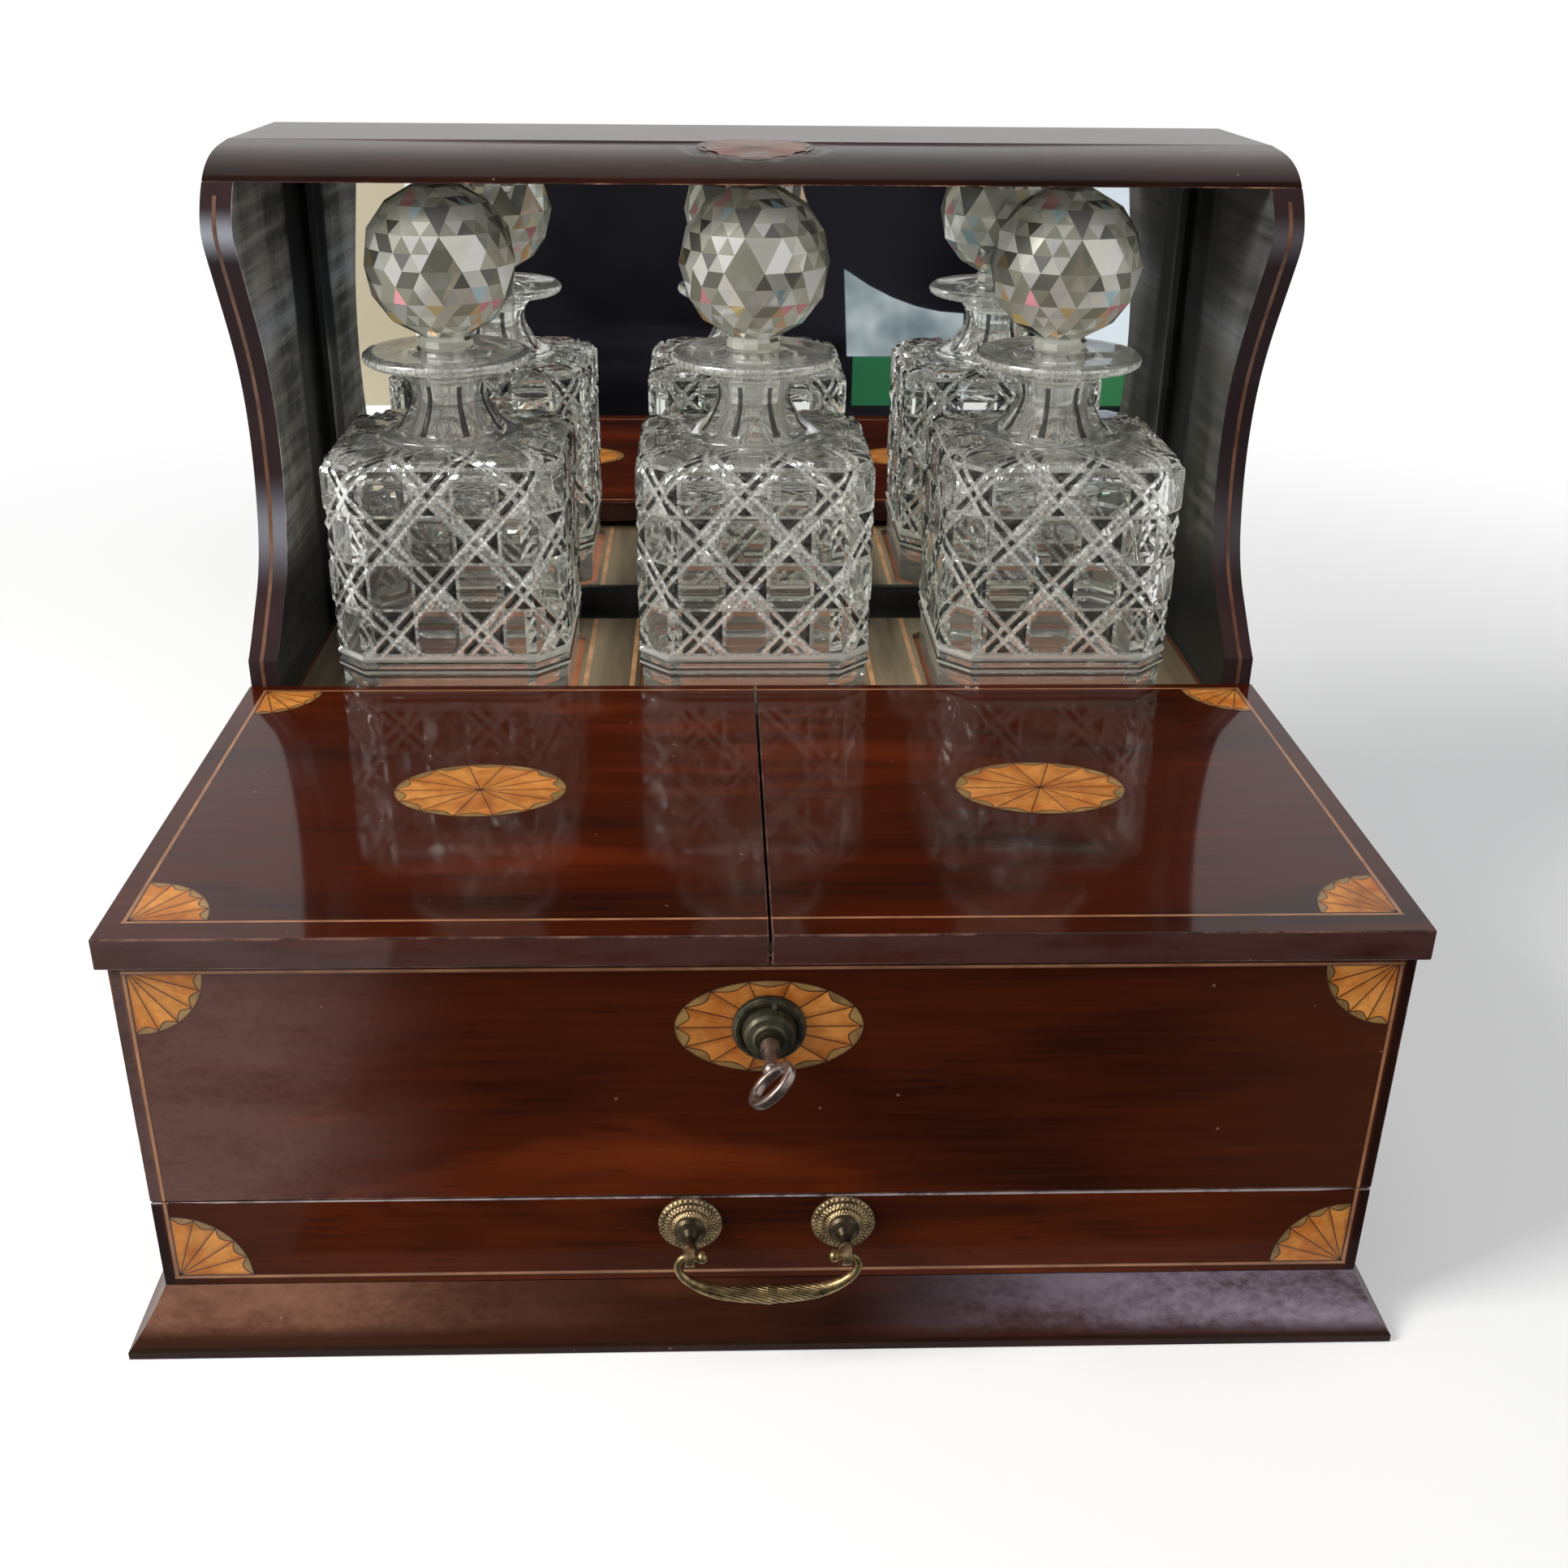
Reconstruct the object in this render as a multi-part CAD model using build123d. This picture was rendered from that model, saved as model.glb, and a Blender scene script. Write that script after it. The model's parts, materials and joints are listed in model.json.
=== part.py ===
from build123d import *
import math
import os

os.makedirs("parts", exist_ok=True)

# Three-bottle tantalus. Millimetres, +Z up, front faces -Y.
# The pieces are drawn round the case and then moved along Y by centre_shift, so that
# the origin is under the middle of the whole length, from the key's bow to the back board.

# ---- driving sizes: case ----
case_width = 380.0
case_front = -152.0
front_thickness = 10.0
side_thickness = 9.0
back_thickness = 6.4
plinth_height = 20.0
plinth_flare = 11.0
plinth_toe = 2.5
plinth_inset = 12.0
base_thickness = 10.0
drawer_height = 32.6
front_height = 85.3
dust_thickness = 6.0
partition_thickness = 6.0
compartment_back_thickness = 7.5
drawer_back_room = 21.6
stop_width = 20.0
stop_depth = 15.6
stop_height = 14.0
stop_inset = 13.5

# ---- driving sizes: lids ----
lid_thickness = 10.0
lid_side_overhang = 2.5
lid_front_overhang = 3.5
lid_depth = 186.5

# ---- driving sizes: bay, mirror and hood ----
bay_drop = 2.3
well_depth = 2.6
bay_floor_thickness = 8.0
well_corner = 6.0
well_front_margin = 1.75
well_rear_margin = 14.45
end_gap_ratio = 0.764113
hood_gap = 0.5
rail_depth = 14.9
mirror_thickness = 3.0
bead_width = 4.0
bead_depth = 4.0
bottom_bead_height = 10.0
hood_side_thickness = 11.0
hood_overhang = 2.0
hood_thickness = 10.7
hood_nose_setback = 18.5
hood_nose_depth = 42.0
side_string_inset = 4.2

# ---- driving sizes: decanters ----
decanter_width = 89.5
decanter_corner = 11.5
foot_inset = 1.35
foot_height = 20.4
shoulder_height = 102.0
shoulder_round = 6.0
wall = 6.0
base_wall = 8.0
neck_bore = 9.0
lip_radius = 32.9
neck_height = 30.0
neck_waist = 14.0
stopper_rise = 33.1
stopper_cap = 0.8
stopper_facet = 26.0
taper_widening = 0.8
taper_length = 20.0
stopper_neck = 9.2

# ---- driving sizes: lock, key and handle ----
key_drop = 23.0
lock_half_width = 25.0
lock_flange = 6.0
lock_depth = 35.0
lock_setback = 2.0
screw_cover = 2.5
boss_radius = 11.0
boss_proud = 7.5
boss_neck_wall = 2.4
boss_stud_radius = 0.8
hub_proud = 1.0
socket_depth = 6.5
barrel_radius = 3.5
crank_radius = 2.83
crank_pin = 0.9
bolt_throw = 4.0
shank_radius = 1.9
bow_reach = 29.2
bow_half_length = 5.4
bow_half_width = 7.1
bow_wire = 1.3
bow_band = 1.6
handle_drop = 10.4
post_spacing = 48.0
handle_reach = 16.0
rosette_radius = 10.0
bail_drop = 15.0
bail_wire = 1.3
bail_middle = 2.5
bail_ball = 1.9
knop_half = 3.0
eye_radius = 2.9
eye_half = 1.5

# ---- driving sizes: hinges ----
hinge_length = 40.0
leaf_thickness = 1.0
leaf_width = 9.0
knuckle_radius = 1.5
pin_radius = 0.6
hinge_front_inset = 43.5
hinge_rear_inset = 43.0

# ---- named clearances ----
running_gap = 0.4
lid_gap = 0.3
lid_split = 0.8
shaft_fit = 0.05
eye_fit = 0.25
stopper_fit = 0.07
knuckle_clear = 0.3
drawer_side_gap = 0.5
well_clear = 1.0
stopper_headroom = 3.4
inlay_fit = 0.03
slot_clear = 1.0
screw_end_clear = 0.9
neck_clear = 0.1
neck_inlay_clear = 1.1

# ---- inlay ----
inlay_depth = 0.6
string_width = 1.4
bay_string_width = 2.0
bay_string_edge = 3.0
front_string_inset = 4.2
lid_string_inset = 7.0
lid_front_string_inset = 9.8
lid_rear_string_inset = 4.9
lid_oval_width = 57.0
lid_oval_depth = 39.5
front_oval_width = 56.0
front_oval_height = 32.0
hood_oval_width = 42.0
hood_oval_depth = 35.0
front_fan = 21.5
drawer_fan = 23.0
lid_front_fan = 22.5
lid_rear_fan = 21.0

# ---- positions that follow ----
case_half = case_width / 2
inner_half = case_half - side_thickness
front_inner = case_front + front_thickness
drawer_bottom = plinth_height + running_gap
drawer_top = drawer_bottom + drawer_height
panel_bottom = drawer_top + running_gap
case_top = panel_bottom + front_height
dust_top = panel_bottom + dust_thickness
lid_bottom = case_top + lid_gap
lid_top = lid_bottom + lid_thickness
lid_outer = case_half + lid_side_overhang
lid_front = case_front - lid_front_overhang
lid_rear = lid_front + lid_depth
bay_top = case_top - bay_drop
well_floor = bay_top - well_depth
decanter_base = well_floor + 0.2
well_width = decanter_width + 2 * well_clear
well_gap = (2 * inner_half - 3 * well_width) / (2 + 2 * end_gap_ratio)
decanter_pitch = well_width + well_gap
decanter_y = lid_rear + well_front_margin + well_width / 2
lip_height = shoulder_height + neck_height
taper_top = neck_bore + taper_widening
stopper_centre = lip_height + stopper_rise
stopper_top = stopper_centre + stopper_facet + stopper_cap
hinge_x = lid_outer - knuckle_radius
hinge_z = case_top + lid_gap / 2
hinge_centres = (lid_front + hinge_front_inset, lid_rear - hinge_rear_inset)
hood_half_width = case_half + hood_overhang
hood_inner = hood_half_width - hood_side_thickness
bay_half = min(inner_half, hood_inner)
bay_front = lid_rear + hood_gap
rail_front = decanter_y + well_width / 2 + well_rear_margin
mirror_face = rail_front + rail_depth
back_front = mirror_face + mirror_thickness
case_back = back_front + back_thickness
hood_under = decanter_base + stopper_top + stopper_headroom
hood_side_height = hood_under - case_top
hood_top_z = hood_under + hood_thickness
front_string_x = case_half - front_string_inset
lid_string_x = lid_outer - lid_string_inset
compartment_rear = lid_rear - compartment_back_thickness
fan_gap = 0.2
lid_oval_x = (lid_string_x + lid_split / 2) / 2 + 1.1
lid_oval_y = (lid_front + lid_rear) / 2 + 2.25
key_height = case_top - key_drop
handle_z = drawer_top - handle_drop
handle_y = case_front - handle_reach
bow_y = case_front - bow_reach
key_tip = bow_y - bow_half_length - bow_wire
centre_shift = -(key_tip + case_back) / 2
foot_width = decanter_width - 2 * foot_inset
lock_plate_half = lock_half_width + lock_flange
boss_neck = barrel_radius + boss_neck_wall
hub_front = case_front - boss_proud - hub_proud
screw_tip = case_front + screw_cover


# ---------- helpers ----------
def block(x0, x1, y0, y1, z0, z1):
    """A board between two opposite corners."""
    centre = Pos((x0 + x1) / 2, (y0 + y1) / 2, (z0 + z1) / 2)
    return centre * Box(x1 - x0, y1 - y0, z1 - z0)


def rod(radius, start, end):
    """A round rod between two points."""
    axis = Vector(*end) - Vector(*start)
    plane = Plane(origin=start, z_dir=axis)
    return extrude(plane * Circle(radius), amount=axis.length)


def turned(points):
    """A solid turned about Z from (radius, height) points."""
    outline = Polyline([(r, 0, z) for r, z in points], close=True)
    return revolve(make_face(outline), Axis.Z)


def facing_front(shape, x, y, z):
    """Lay a piece turned about Z so that its top points to the front."""
    return Pos(x, y, z) * Rot(90, 0, 0) * shape


def square_plan(half, corner, z):
    """A square with cut corners, seen from above."""
    c = half - corner
    points = [(half, c), (c, half), (-c, half), (-half, c), (-half, -c), (-c, -half), (c, -half), (half, -c)]
    return make_face(Polyline([(x, y, z) for x, y in points], close=True))


def joined(pieces):
    """Several separate solids kept in one node."""
    return Compound([solid for piece in pieces for solid in piece.solids()])


def flipped(shape):
    """The same piece on the other side of the case."""
    return joined([mirror(solid, about=Plane.YZ) for solid in shape.solids()])


# ---------- inlay shapes, drawn flat in XY and then set into a face ----------
def fan_plan(x, y, radius, sign_x, sign_y, grow):
    """A quarter fan that opens from its corner."""
    disc = Pos(x, y) * Circle(radius + grow)
    side = 2 * radius
    quarter = Pos(x + sign_x * (side / 2 - grow), y + sign_y * (side / 2 - grow)) * Rectangle(side, side)
    return disc & quarter


def strip_plan(x0, x1, y0, y1, grow):
    """A straight string line."""
    width = x1 - x0 + 2 * grow
    height = y1 - y0 + 2 * grow
    return Pos((x0 + x1) / 2, (y0 + y1) / 2) * Rectangle(width, height)


def oval_plan(x, y, width, height, grow):
    """An oval patera."""
    return Pos(x, y) * Ellipse(width / 2 + grow, height / 2 + grow)


def set_in_front(plans, extra):
    """Raise flat plans into pieces let into the front face."""
    sunk = Plane(origin=(0, case_front - extra, 0), x_dir=(1, 0, 0), z_dir=(0, -1, 0))
    return [extrude(sunk * p, amount=-(inlay_depth + extra)) for p in plans]


def set_in_top(plans, z, extra):
    """Raise flat plans into pieces let into a top face."""
    return [extrude(Pos(0, 0, z + extra) * p, amount=-(inlay_depth + extra)) for p in plans]


def front_plans(grow):
    half = string_width / 2
    top = case_top - running_gap
    line = front_string_x
    fan_z = top - string_width - 3 * fan_gap
    side = strip_plan(line - half, line + half, panel_bottom, top - string_width, grow)
    across = strip_plan(-line - half, line + half, top - string_width, top, grow)
    fan = fan_plan(line - half - fan_gap, fan_z, front_fan, -1, -1, grow)
    oval = oval_plan(0, key_height, front_oval_width, front_oval_height, grow)
    hole = Pos(0, key_height) * Circle(boss_neck + neck_inlay_clear - grow)
    return [side, mirror(side, about=Plane.YZ), across, fan, mirror(fan, about=Plane.YZ), oval - hole]


def drawer_plans(grow):
    half = string_width / 2
    line = front_string_x
    low = drawer_bottom + 2.2
    side = strip_plan(line - half, line + half, low + string_width, drawer_top, grow)
    across = strip_plan(-line - half, line + half, low, low + string_width, grow)
    fan = fan_plan(line - half - fan_gap, low + string_width + fan_gap, drawer_fan, -1, 1, grow)
    return [side, mirror(side, about=Plane.YZ), across, fan, mirror(fan, about=Plane.YZ)]


def lid_plans(grow):
    half = string_width / 2
    line = lid_string_x
    front = lid_front + lid_front_string_inset
    rear = lid_rear - lid_rear_string_inset
    inner = lid_split / 2
    side = strip_plan(line - half, line + half, front + half, rear - half, grow)
    fore = strip_plan(inner, line + half, front - half, front + half, grow)
    aft = strip_plan(inner, line + half, rear - half, rear + half, grow)
    oval = oval_plan(lid_oval_x, lid_oval_y, lid_oval_width, lid_oval_depth, grow)
    fan_x = line - half - fan_gap
    near = fan_plan(fan_x, front + half + fan_gap, lid_front_fan, -1, 1, grow)
    far = fan_plan(fan_x, rear - half - fan_gap, lid_rear_fan, -1, -1, grow)
    return [side, fore, aft, oval, near, far]


def sunk(body, pockets):
    """Cut each inlay pocket out of a board."""
    for pocket in pockets:
        body = body - pocket
    return body


# ---------- plinth and case ----------
def plinth_profile():
    """Section of the plinth moulding: distance outside the case line, height."""
    inner = -plinth_inset
    bottom = Line((inner, 0), (plinth_flare, 0))
    toe = Line((plinth_flare, 0), (plinth_flare, plinth_toe))
    hollow = Spline((plinth_flare, plinth_toe), (0.51 * plinth_flare, 0.49 * plinth_height), (0, plinth_height))
    top = Line((0, plinth_height), (inner, plinth_height))
    back = Line((inner, plinth_height), (inner, 0))
    return make_face([bottom, toe, hollow, top, back])


def prism_from(points, z0, z1):
    """A straight block with the given plan."""
    plan = make_face(Polyline([(x, y, z0) for x, y in points], close=True))
    return extrude(plan, amount=z1 - z0, dir=(0, 0, 1))


def plinth_front():
    outer = case_half + plinth_flare
    inner = case_half - plinth_inset
    section = Plane(origin=(-outer, case_front, 0), x_dir=(0, -1, 0), z_dir=(-1, 0, 0))
    run = extrude(section * plinth_profile(), amount=-2 * outer)
    front = case_front - plinth_flare
    rear = case_front + plinth_inset
    mitre = [(-outer, front), (outer, front), (inner, rear), (-inner, rear)]
    return run & prism_from(mitre, 0, plinth_height)


def plinth_right():
    outer = case_half + plinth_flare
    inner = case_half - plinth_inset
    front = case_front - plinth_flare
    rear = case_front + plinth_inset
    section = Plane(origin=(case_half, front, 0), x_dir=(1, 0, 0), z_dir=(0, -1, 0))
    run = extrude(section * plinth_profile(), amount=-(case_back - front))
    mitre = [(outer, front), (outer, case_back), (inner, case_back), (inner, rear)]
    return run & prism_from(mitre, 0, plinth_height)


def plinth_back():
    inner = case_half - plinth_inset
    return block(-inner, inner, case_back - plinth_inset, case_back, 0, plinth_height)


def base_board():
    inner = case_half - plinth_inset
    front = case_front + plinth_inset
    rear = case_back - plinth_inset
    return block(-inner, inner, front, rear, plinth_height - base_thickness, plinth_height)


def hinge_room(y):
    """Space round one hinge knuckle, right side."""
    radius = knuckle_radius + knuckle_clear
    half = hinge_length / 2 + knuckle_clear
    return rod(radius, (hinge_x, y - half, hinge_z), (hinge_x, y + half, hinge_z))


def leaf_pocket(y, z0, z1):
    """Recess for one hinge leaf, right side."""
    half = hinge_length / 2
    return block(hinge_x - leaf_width, case_half + 5, y - half, y + half, z0, z1)


def side_right():
    board = block(inner_half, case_half, front_inner, case_back, plinth_height, case_top)
    for y in hinge_centres:
        board = board - leaf_pocket(y, case_top - leaf_thickness, case_top + 1) - hinge_room(y)
    return board


def lock_pocket():
    half = lock_half_width
    plate_half = lock_plate_half
    box = block(-half, half, lock_front, front_inner + 1, lock_bottom, case_top + 1)
    plate = block(-plate_half, plate_half, front_inner - 1.0, front_inner + 1, lock_bottom, case_top + 1)
    return box + plate


def front_panel():
    panel = block(-case_half, case_half, case_front, front_inner, panel_bottom, case_top)
    panel = sunk(panel, set_in_front(front_plans(inlay_fit), 1.0))
    panel = panel - lock_pocket()
    bore = boss_neck + neck_clear
    panel = panel - rod(bore, (0, case_front - 1, key_height), (0, front_inner, key_height))
    for x, z in screw_places():
        panel = panel - rod(1.0, (x, screw_tip - screw_end_clear, z), (x, front_inner, z))
    return panel


def dust_board():
    return block(-inner_half, inner_half, front_inner, back_front, panel_bottom, dust_top)


def compartment_back():
    return block(-inner_half, inner_half, compartment_rear, lid_rear, dust_top, bay_top)


def centre_partition():
    half = partition_thickness / 2
    return block(-half, half, front_inner, compartment_rear, dust_top, bay_top)


def case_back_board():
    return block(-inner_half, inner_half, back_front, case_back, plinth_height, case_top)


# ---------- bay ----------
def bay_floor():
    low = well_floor - bay_floor_thickness
    return block(-inner_half, inner_half, lid_rear, back_front, low, well_floor)


def well_opening(x):
    plan = square_plan(well_width / 2, well_corner, well_floor - 1)
    return Pos(x, decanter_y, 0) * extrude(plan, amount=well_depth + 2, dir=(0, 0, 1))


def bay_string_places():
    edge = well_width / 2
    return (edge + bay_string_edge, decanter_pitch - edge - bay_string_edge)


def bay_string(x, grow):
    half = bay_string_width / 2 + grow
    return block(x - half, x + half, lid_rear, rail_front, bay_top - inlay_depth - grow, bay_top)


def bay_frame():
    frame = block(-inner_half, inner_half, lid_rear, rail_front, well_floor, bay_top)
    for x in (-decanter_pitch, 0, decanter_pitch):
        frame = frame - well_opening(x)
    for x in bay_string_places():
        cut = bay_string(x, inlay_fit)
        frame = frame - cut - flipped(cut)
    return frame


def bay_strings():
    right = [bay_string(x, 0) for x in bay_string_places()]
    return joined(right + [flipped(s) for s in right])


def bay_rear_rail():
    return block(-inner_half, inner_half, rail_front, mirror_face, well_floor, bay_top)


def mirror_glass():
    half = bay_half - 1.0
    return block(-half, half, mirror_face, mirror_face + mirror_thickness, well_floor, hood_under)


def mirror_beads():
    face = mirror_face - bead_depth
    low = bay_top + bottom_bead_height
    bottom = block(-bay_half, bay_half, face, mirror_face, bay_top, low)
    bottom = chamfer(bottom.edges().filter_by(Axis.X).group_by(Axis.Y)[0].sort_by(Axis.Z)[-1], 2.4)
    top = block(-bay_half, bay_half, face, mirror_face, hood_under - bead_width, hood_under)
    right = block(bay_half - bead_width, bay_half, face, mirror_face, low, hood_under - bead_width)
    right = chamfer(right.edges().filter_by(Axis.Z).group_by(Axis.Y)[0].sort_by(Axis.X)[0], 2.0)
    return joined([bottom, top, right, flipped(right)])


def mirror_back():
    return block(-hood_inner, hood_inner, back_front, case_back, case_top, hood_under)


# ---------- hood ----------
def hood_side_profile():
    """Shaped outline of a hood side, seen from the side."""
    scale = hood_side_height / 190.6
    shape = [
        (0, 20.3), (6.2, 25.0), (16.5, 34.1), (25.9, 42.9), (32.5, 52.8), (37.1, 66.3), (40.3, 91.3),
        (35.9, 121.3), (24.2, 146.3), (13.1, 165.8), (9.8, 175.3), (11.8, 181.9), (hood_nose_setback, 190.6),
    ]
    points = [(0, bay_front + y, case_top + z * scale) for y, z in shape]
    foot = Line((0, bay_front, case_top), points[0])
    sweep_line = Spline(points)
    top = Line(points[-1], (0, case_back, hood_under))
    rear = Line((0, case_back, hood_under), (0, case_back, case_top))
    low = Line((0, case_back, case_top), (0, bay_front, case_top))
    return make_face([foot, sweep_line, top, rear, low])


def hood_side_slice(x0, x1):
    return extrude(Pos(x0, 0, 0) * hood_side_profile(), amount=x1 - x0, dir=(1, 0, 0))


def side_string(grow):
    """Thin line let into the shaped front edge."""
    x1 = hood_half_width - side_string_inset + grow
    x0 = x1 - string_width - 2 * grow
    strip = hood_side_slice(x0, x1)
    keep = block(x0 - 1, x1 + 1, bay_front - 1, mirror_face, case_top, hood_under - 4.0 + grow)
    return (strip & keep) - Pos(0, inlay_depth + grow, 0) * strip


def hood_side_right():
    return hood_side_slice(hood_inner, hood_half_width) - side_string(inlay_fit)


def hood_side_strings():
    right = side_string(0)
    return joined([right, flipped(right)])


def hood_board():
    nose = [(0, 0), (0.095, 0.299), (0.271, 0.617), (0.555, 0.86), (1, 1)]
    start = bay_front + hood_nose_setback
    points = [(0, start + y * hood_nose_depth, hood_under + z * hood_thickness) for y, z in nose]
    curve = Spline(points)
    top = Line(points[-1], (0, case_back, hood_top_z))
    rear = Line((0, case_back, hood_top_z), (0, case_back, hood_under))
    low = Line((0, case_back, hood_under), points[0])
    profile = make_face([curve, top, rear, low])
    width = 2 * hood_half_width
    return extrude(Pos(-hood_half_width, 0, 0) * profile, amount=width, dir=(1, 0, 0))


def hood_oval(grow):
    centre = bay_front + hood_nose_setback + hood_nose_depth - 11.0
    plan = oval_plan(0, centre, hood_oval_width, hood_oval_depth, grow)
    column = extrude(Pos(0, 0, hood_under + 2) * plan, amount=2 * hood_thickness)
    board = hood_board()
    return (board & column) - Pos(0, 0, -inlay_depth - grow) * board


def hood_top():
    return hood_board() - hood_oval(inlay_fit)


# ---------- lids and their hinges ----------
def lid_right():
    lid = block(lid_split / 2, lid_outer, lid_front, lid_rear, lid_bottom, lid_top)
    lid = sunk(lid, set_in_top(lid_plans(inlay_fit), lid_top, 1.0))
    for y in hinge_centres:
        lid = lid - leaf_pocket(y, lid_bottom - 1, lid_bottom + leaf_thickness) - hinge_room(y)
    plate = staple_plate_size()
    return lid - block(plate[0], plate[1], plate[2], plate[3], lid_bottom - 1, lid_bottom + 1.0)


def lid_inlay_right():
    return joined(set_in_top(lid_plans(0), lid_top, 0))


def knuckle(y0, y1):
    tube = rod(knuckle_radius, (hinge_x, y0, hinge_z), (hinge_x, y1, hinge_z))
    return tube - rod(pin_radius + shaft_fit, (hinge_x, y0 - 1, hinge_z), (hinge_x, y1 + 1, hinge_z))


def knuckle_spans(y):
    half = hinge_length / 2
    third = hinge_length / 6
    fixed = [(y - half, y - third), (y + third, y + half)]
    moving = [(y - third + knuckle_clear, y + third - knuckle_clear)]
    return fixed, moving


def hinge_leaf(y, spans, z0, z1):
    half = hinge_length / 2
    plate_edge = hinge_x - knuckle_radius - knuckle_clear
    leaf = block(hinge_x - leaf_width, plate_edge, y - half, y + half, z0, z1)
    bore = rod(pin_radius + shaft_fit, (hinge_x, y - half, hinge_z), (hinge_x, y + half, hinge_z))
    for y0, y1 in spans:
        web = block(plate_edge - 0.5, hinge_x, y0, y1, z0, z1) - bore
        leaf = leaf + web + knuckle(y0, y1)
    return leaf


def hinge_fixed_right():
    leaves = []
    for y in hinge_centres:
        leaves.append(hinge_leaf(y, knuckle_spans(y)[0], case_top - leaf_thickness, case_top))
    return joined(leaves)


def hinge_lid_right():
    leaves = []
    for y in hinge_centres:
        leaves.append(hinge_leaf(y, knuckle_spans(y)[1], lid_bottom, lid_bottom + leaf_thickness))
    return joined(leaves)


def hinge_pins():
    pins = []
    for y in hinge_centres:
        half = hinge_length / 2
        pin = rod(pin_radius, (hinge_x, y - half, hinge_z), (hinge_x, y + half, hinge_z))
        pins.extend([pin, flipped(pin)])
    return joined(pins)


# ---------- lock, barrel and key ----------
lock_front = case_front + lock_setback
lock_bottom = case_top - lock_depth
bolt_y = (lock_front + front_inner) / 2
staple_x = 9.0


def staple_plate_size():
    return (staple_x - 4, staple_x + 6, bolt_y - 4.5, bolt_y + 4.5)


def lid_staple_right():
    x0, x1, y0, y1 = staple_plate_size()
    plate = block(x0, x1, y0, y1, lid_bottom, lid_bottom + 1.0)
    tab = block(staple_x - 0.8, staple_x + 0.8, bolt_y - 2.2, bolt_y + 2.2, lid_bottom - 9.0, lid_bottom)
    eye = block(staple_x - 2, staple_x + 2, bolt_y - 1.2, bolt_y + 1.2, nose_low - 0.5, nose_low + 3.9)
    return plate + tab - eye


nose_low = case_top - 7.3
bolt_low = key_height + 0.3
bolt_high = key_height + 7.0


def screw_places():
    x = lock_half_width + lock_flange / 2
    return [(-x, lock_bottom + 6), (x, lock_bottom + 6), (-x, case_top - 7), (x, case_top - 7)]


def lock_case():
    half = lock_half_width
    plate_half = lock_plate_half
    shell = block(-half, half, lock_front, front_inner, lock_bottom, case_top)
    shell = shell + block(-plate_half, plate_half, front_inner - 1.0, front_inner, lock_bottom, case_top)
    cavity = block(1 - half, half - 1, lock_front + 1, front_inner - 1, lock_bottom + 1, case_top - 1.5)
    shell = shell - cavity
    slot = block(
        staple_x - 0.8 - slot_clear, staple_x + 0.8 + slot_clear,
        bolt_y - 2.6, bolt_y + 2.6, case_top - 2, case_top + 1,
    )
    shell = shell - slot - flipped(slot)
    hole = rod(barrel_radius + 0.3, (0, lock_front - 1, key_height), (0, lock_front + 1.5, key_height))
    shell = shell - hole
    guide = block(-17, -11, lock_front + 1, front_inner - 1, bolt_low - 2.3, bolt_low - running_gap)
    for x0, x1 in ((-16, -12), (3, 7)):
        shell = shell + block(x0, x1, lock_front + 1, front_inner - 1, bolt_high + running_gap, bolt_high + 2)
    for x, z in screw_places():
        shell = shell - rod(1.05, (x, front_inner - 3, z), (x, front_inner + 1, z))
        shell = shell - screw_head(x, z, 0.05)
    return shell + guide + flipped(guide)


def screw_head(x, z, grow):
    cone = turned([(0, 0), (1.0 + grow, 0), (1.9 + grow, 0.9), (1.9 + grow, 1.0), (0, 1.0)])
    return Pos(x, front_inner - 1.0, z) * Rot(-90, 0, 0) * cone


def lock_screws():
    screws = []
    for x, z in screw_places():
        shank = rod(0.95, (x, screw_tip, z), (x, front_inner - 1.0, z))
        head = screw_head(x, z, 0)
        slot = block(x - 2, x + 2, front_inner - 0.4, front_inner + 1, z - 0.25, z + 0.25)
        screws.append(shank + head - slot)
    return joined(screws + [boss_stud(0)])


def boss_stud(grow):
    """Steel stud in the upper rim of the boss."""
    x = 1.4
    z = key_height + boss_radius - 2.2
    return rod(boss_stud_radius + grow, (x, case_front - 0.5, z), (x, case_front - 3.4, z))


def lock_bolt():
    """Sliding bolt with two upright fingers; drawn in the unlocked place."""
    y0 = bolt_y - 1.4
    y1 = bolt_y + 1.4
    bar = block(-18, 18, y0, y1, bolt_low, bolt_high)
    crank_x = crank_radius * math.sin(math.radians(45))
    notch_half = crank_pin + running_gap
    notch = block(crank_x - notch_half, crank_x + notch_half, y0 - 1, y1 + 1, bolt_low - 1, key_height + 4.5)
    nose_high = nose_low + 3.4
    right_arm = block(14.3, 18, y0, y1, bolt_high - 1, nose_high)
    right_nose = block(10.6, 15, bolt_y - 0.8, bolt_y + 0.8, nose_low, nose_high)
    left_arm = block(-3.8, -0.3, y0, y1, bolt_high - 1, nose_high)
    left_nose = block(-7.4, -3, bolt_y - 0.8, bolt_y + 0.8, nose_low, nose_high)
    return bar - notch + right_arm + right_nose + left_arm + left_nose


def lock_boss():
    """Round boss: a rounded rim, a hollow and a bell that narrows to the key barrel."""
    r = boss_radius
    top = boss_proud
    bore = barrel_radius + shaft_fit
    points = [
        (bore, -2.0), (boss_neck, -2.0), (boss_neck, 0), (r, 0), (r, 1.4), (r - 0.4, 2.1), (r - 1.2, 2.5),
        (r - 2.2, 2.5), (r - 2.8, 2.0), (r - 3.0, 2.3), (r - 3.0, 3.2), (r - 3.5, top - 2.2),
        (r - 4.3, top - 1.1), (bore + 1.6, top - 0.6), (bore + 0.9, top), (bore, top),
    ]
    return facing_front(turned(points), 0, case_front, key_height) - boss_stud(shaft_fit)


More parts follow.
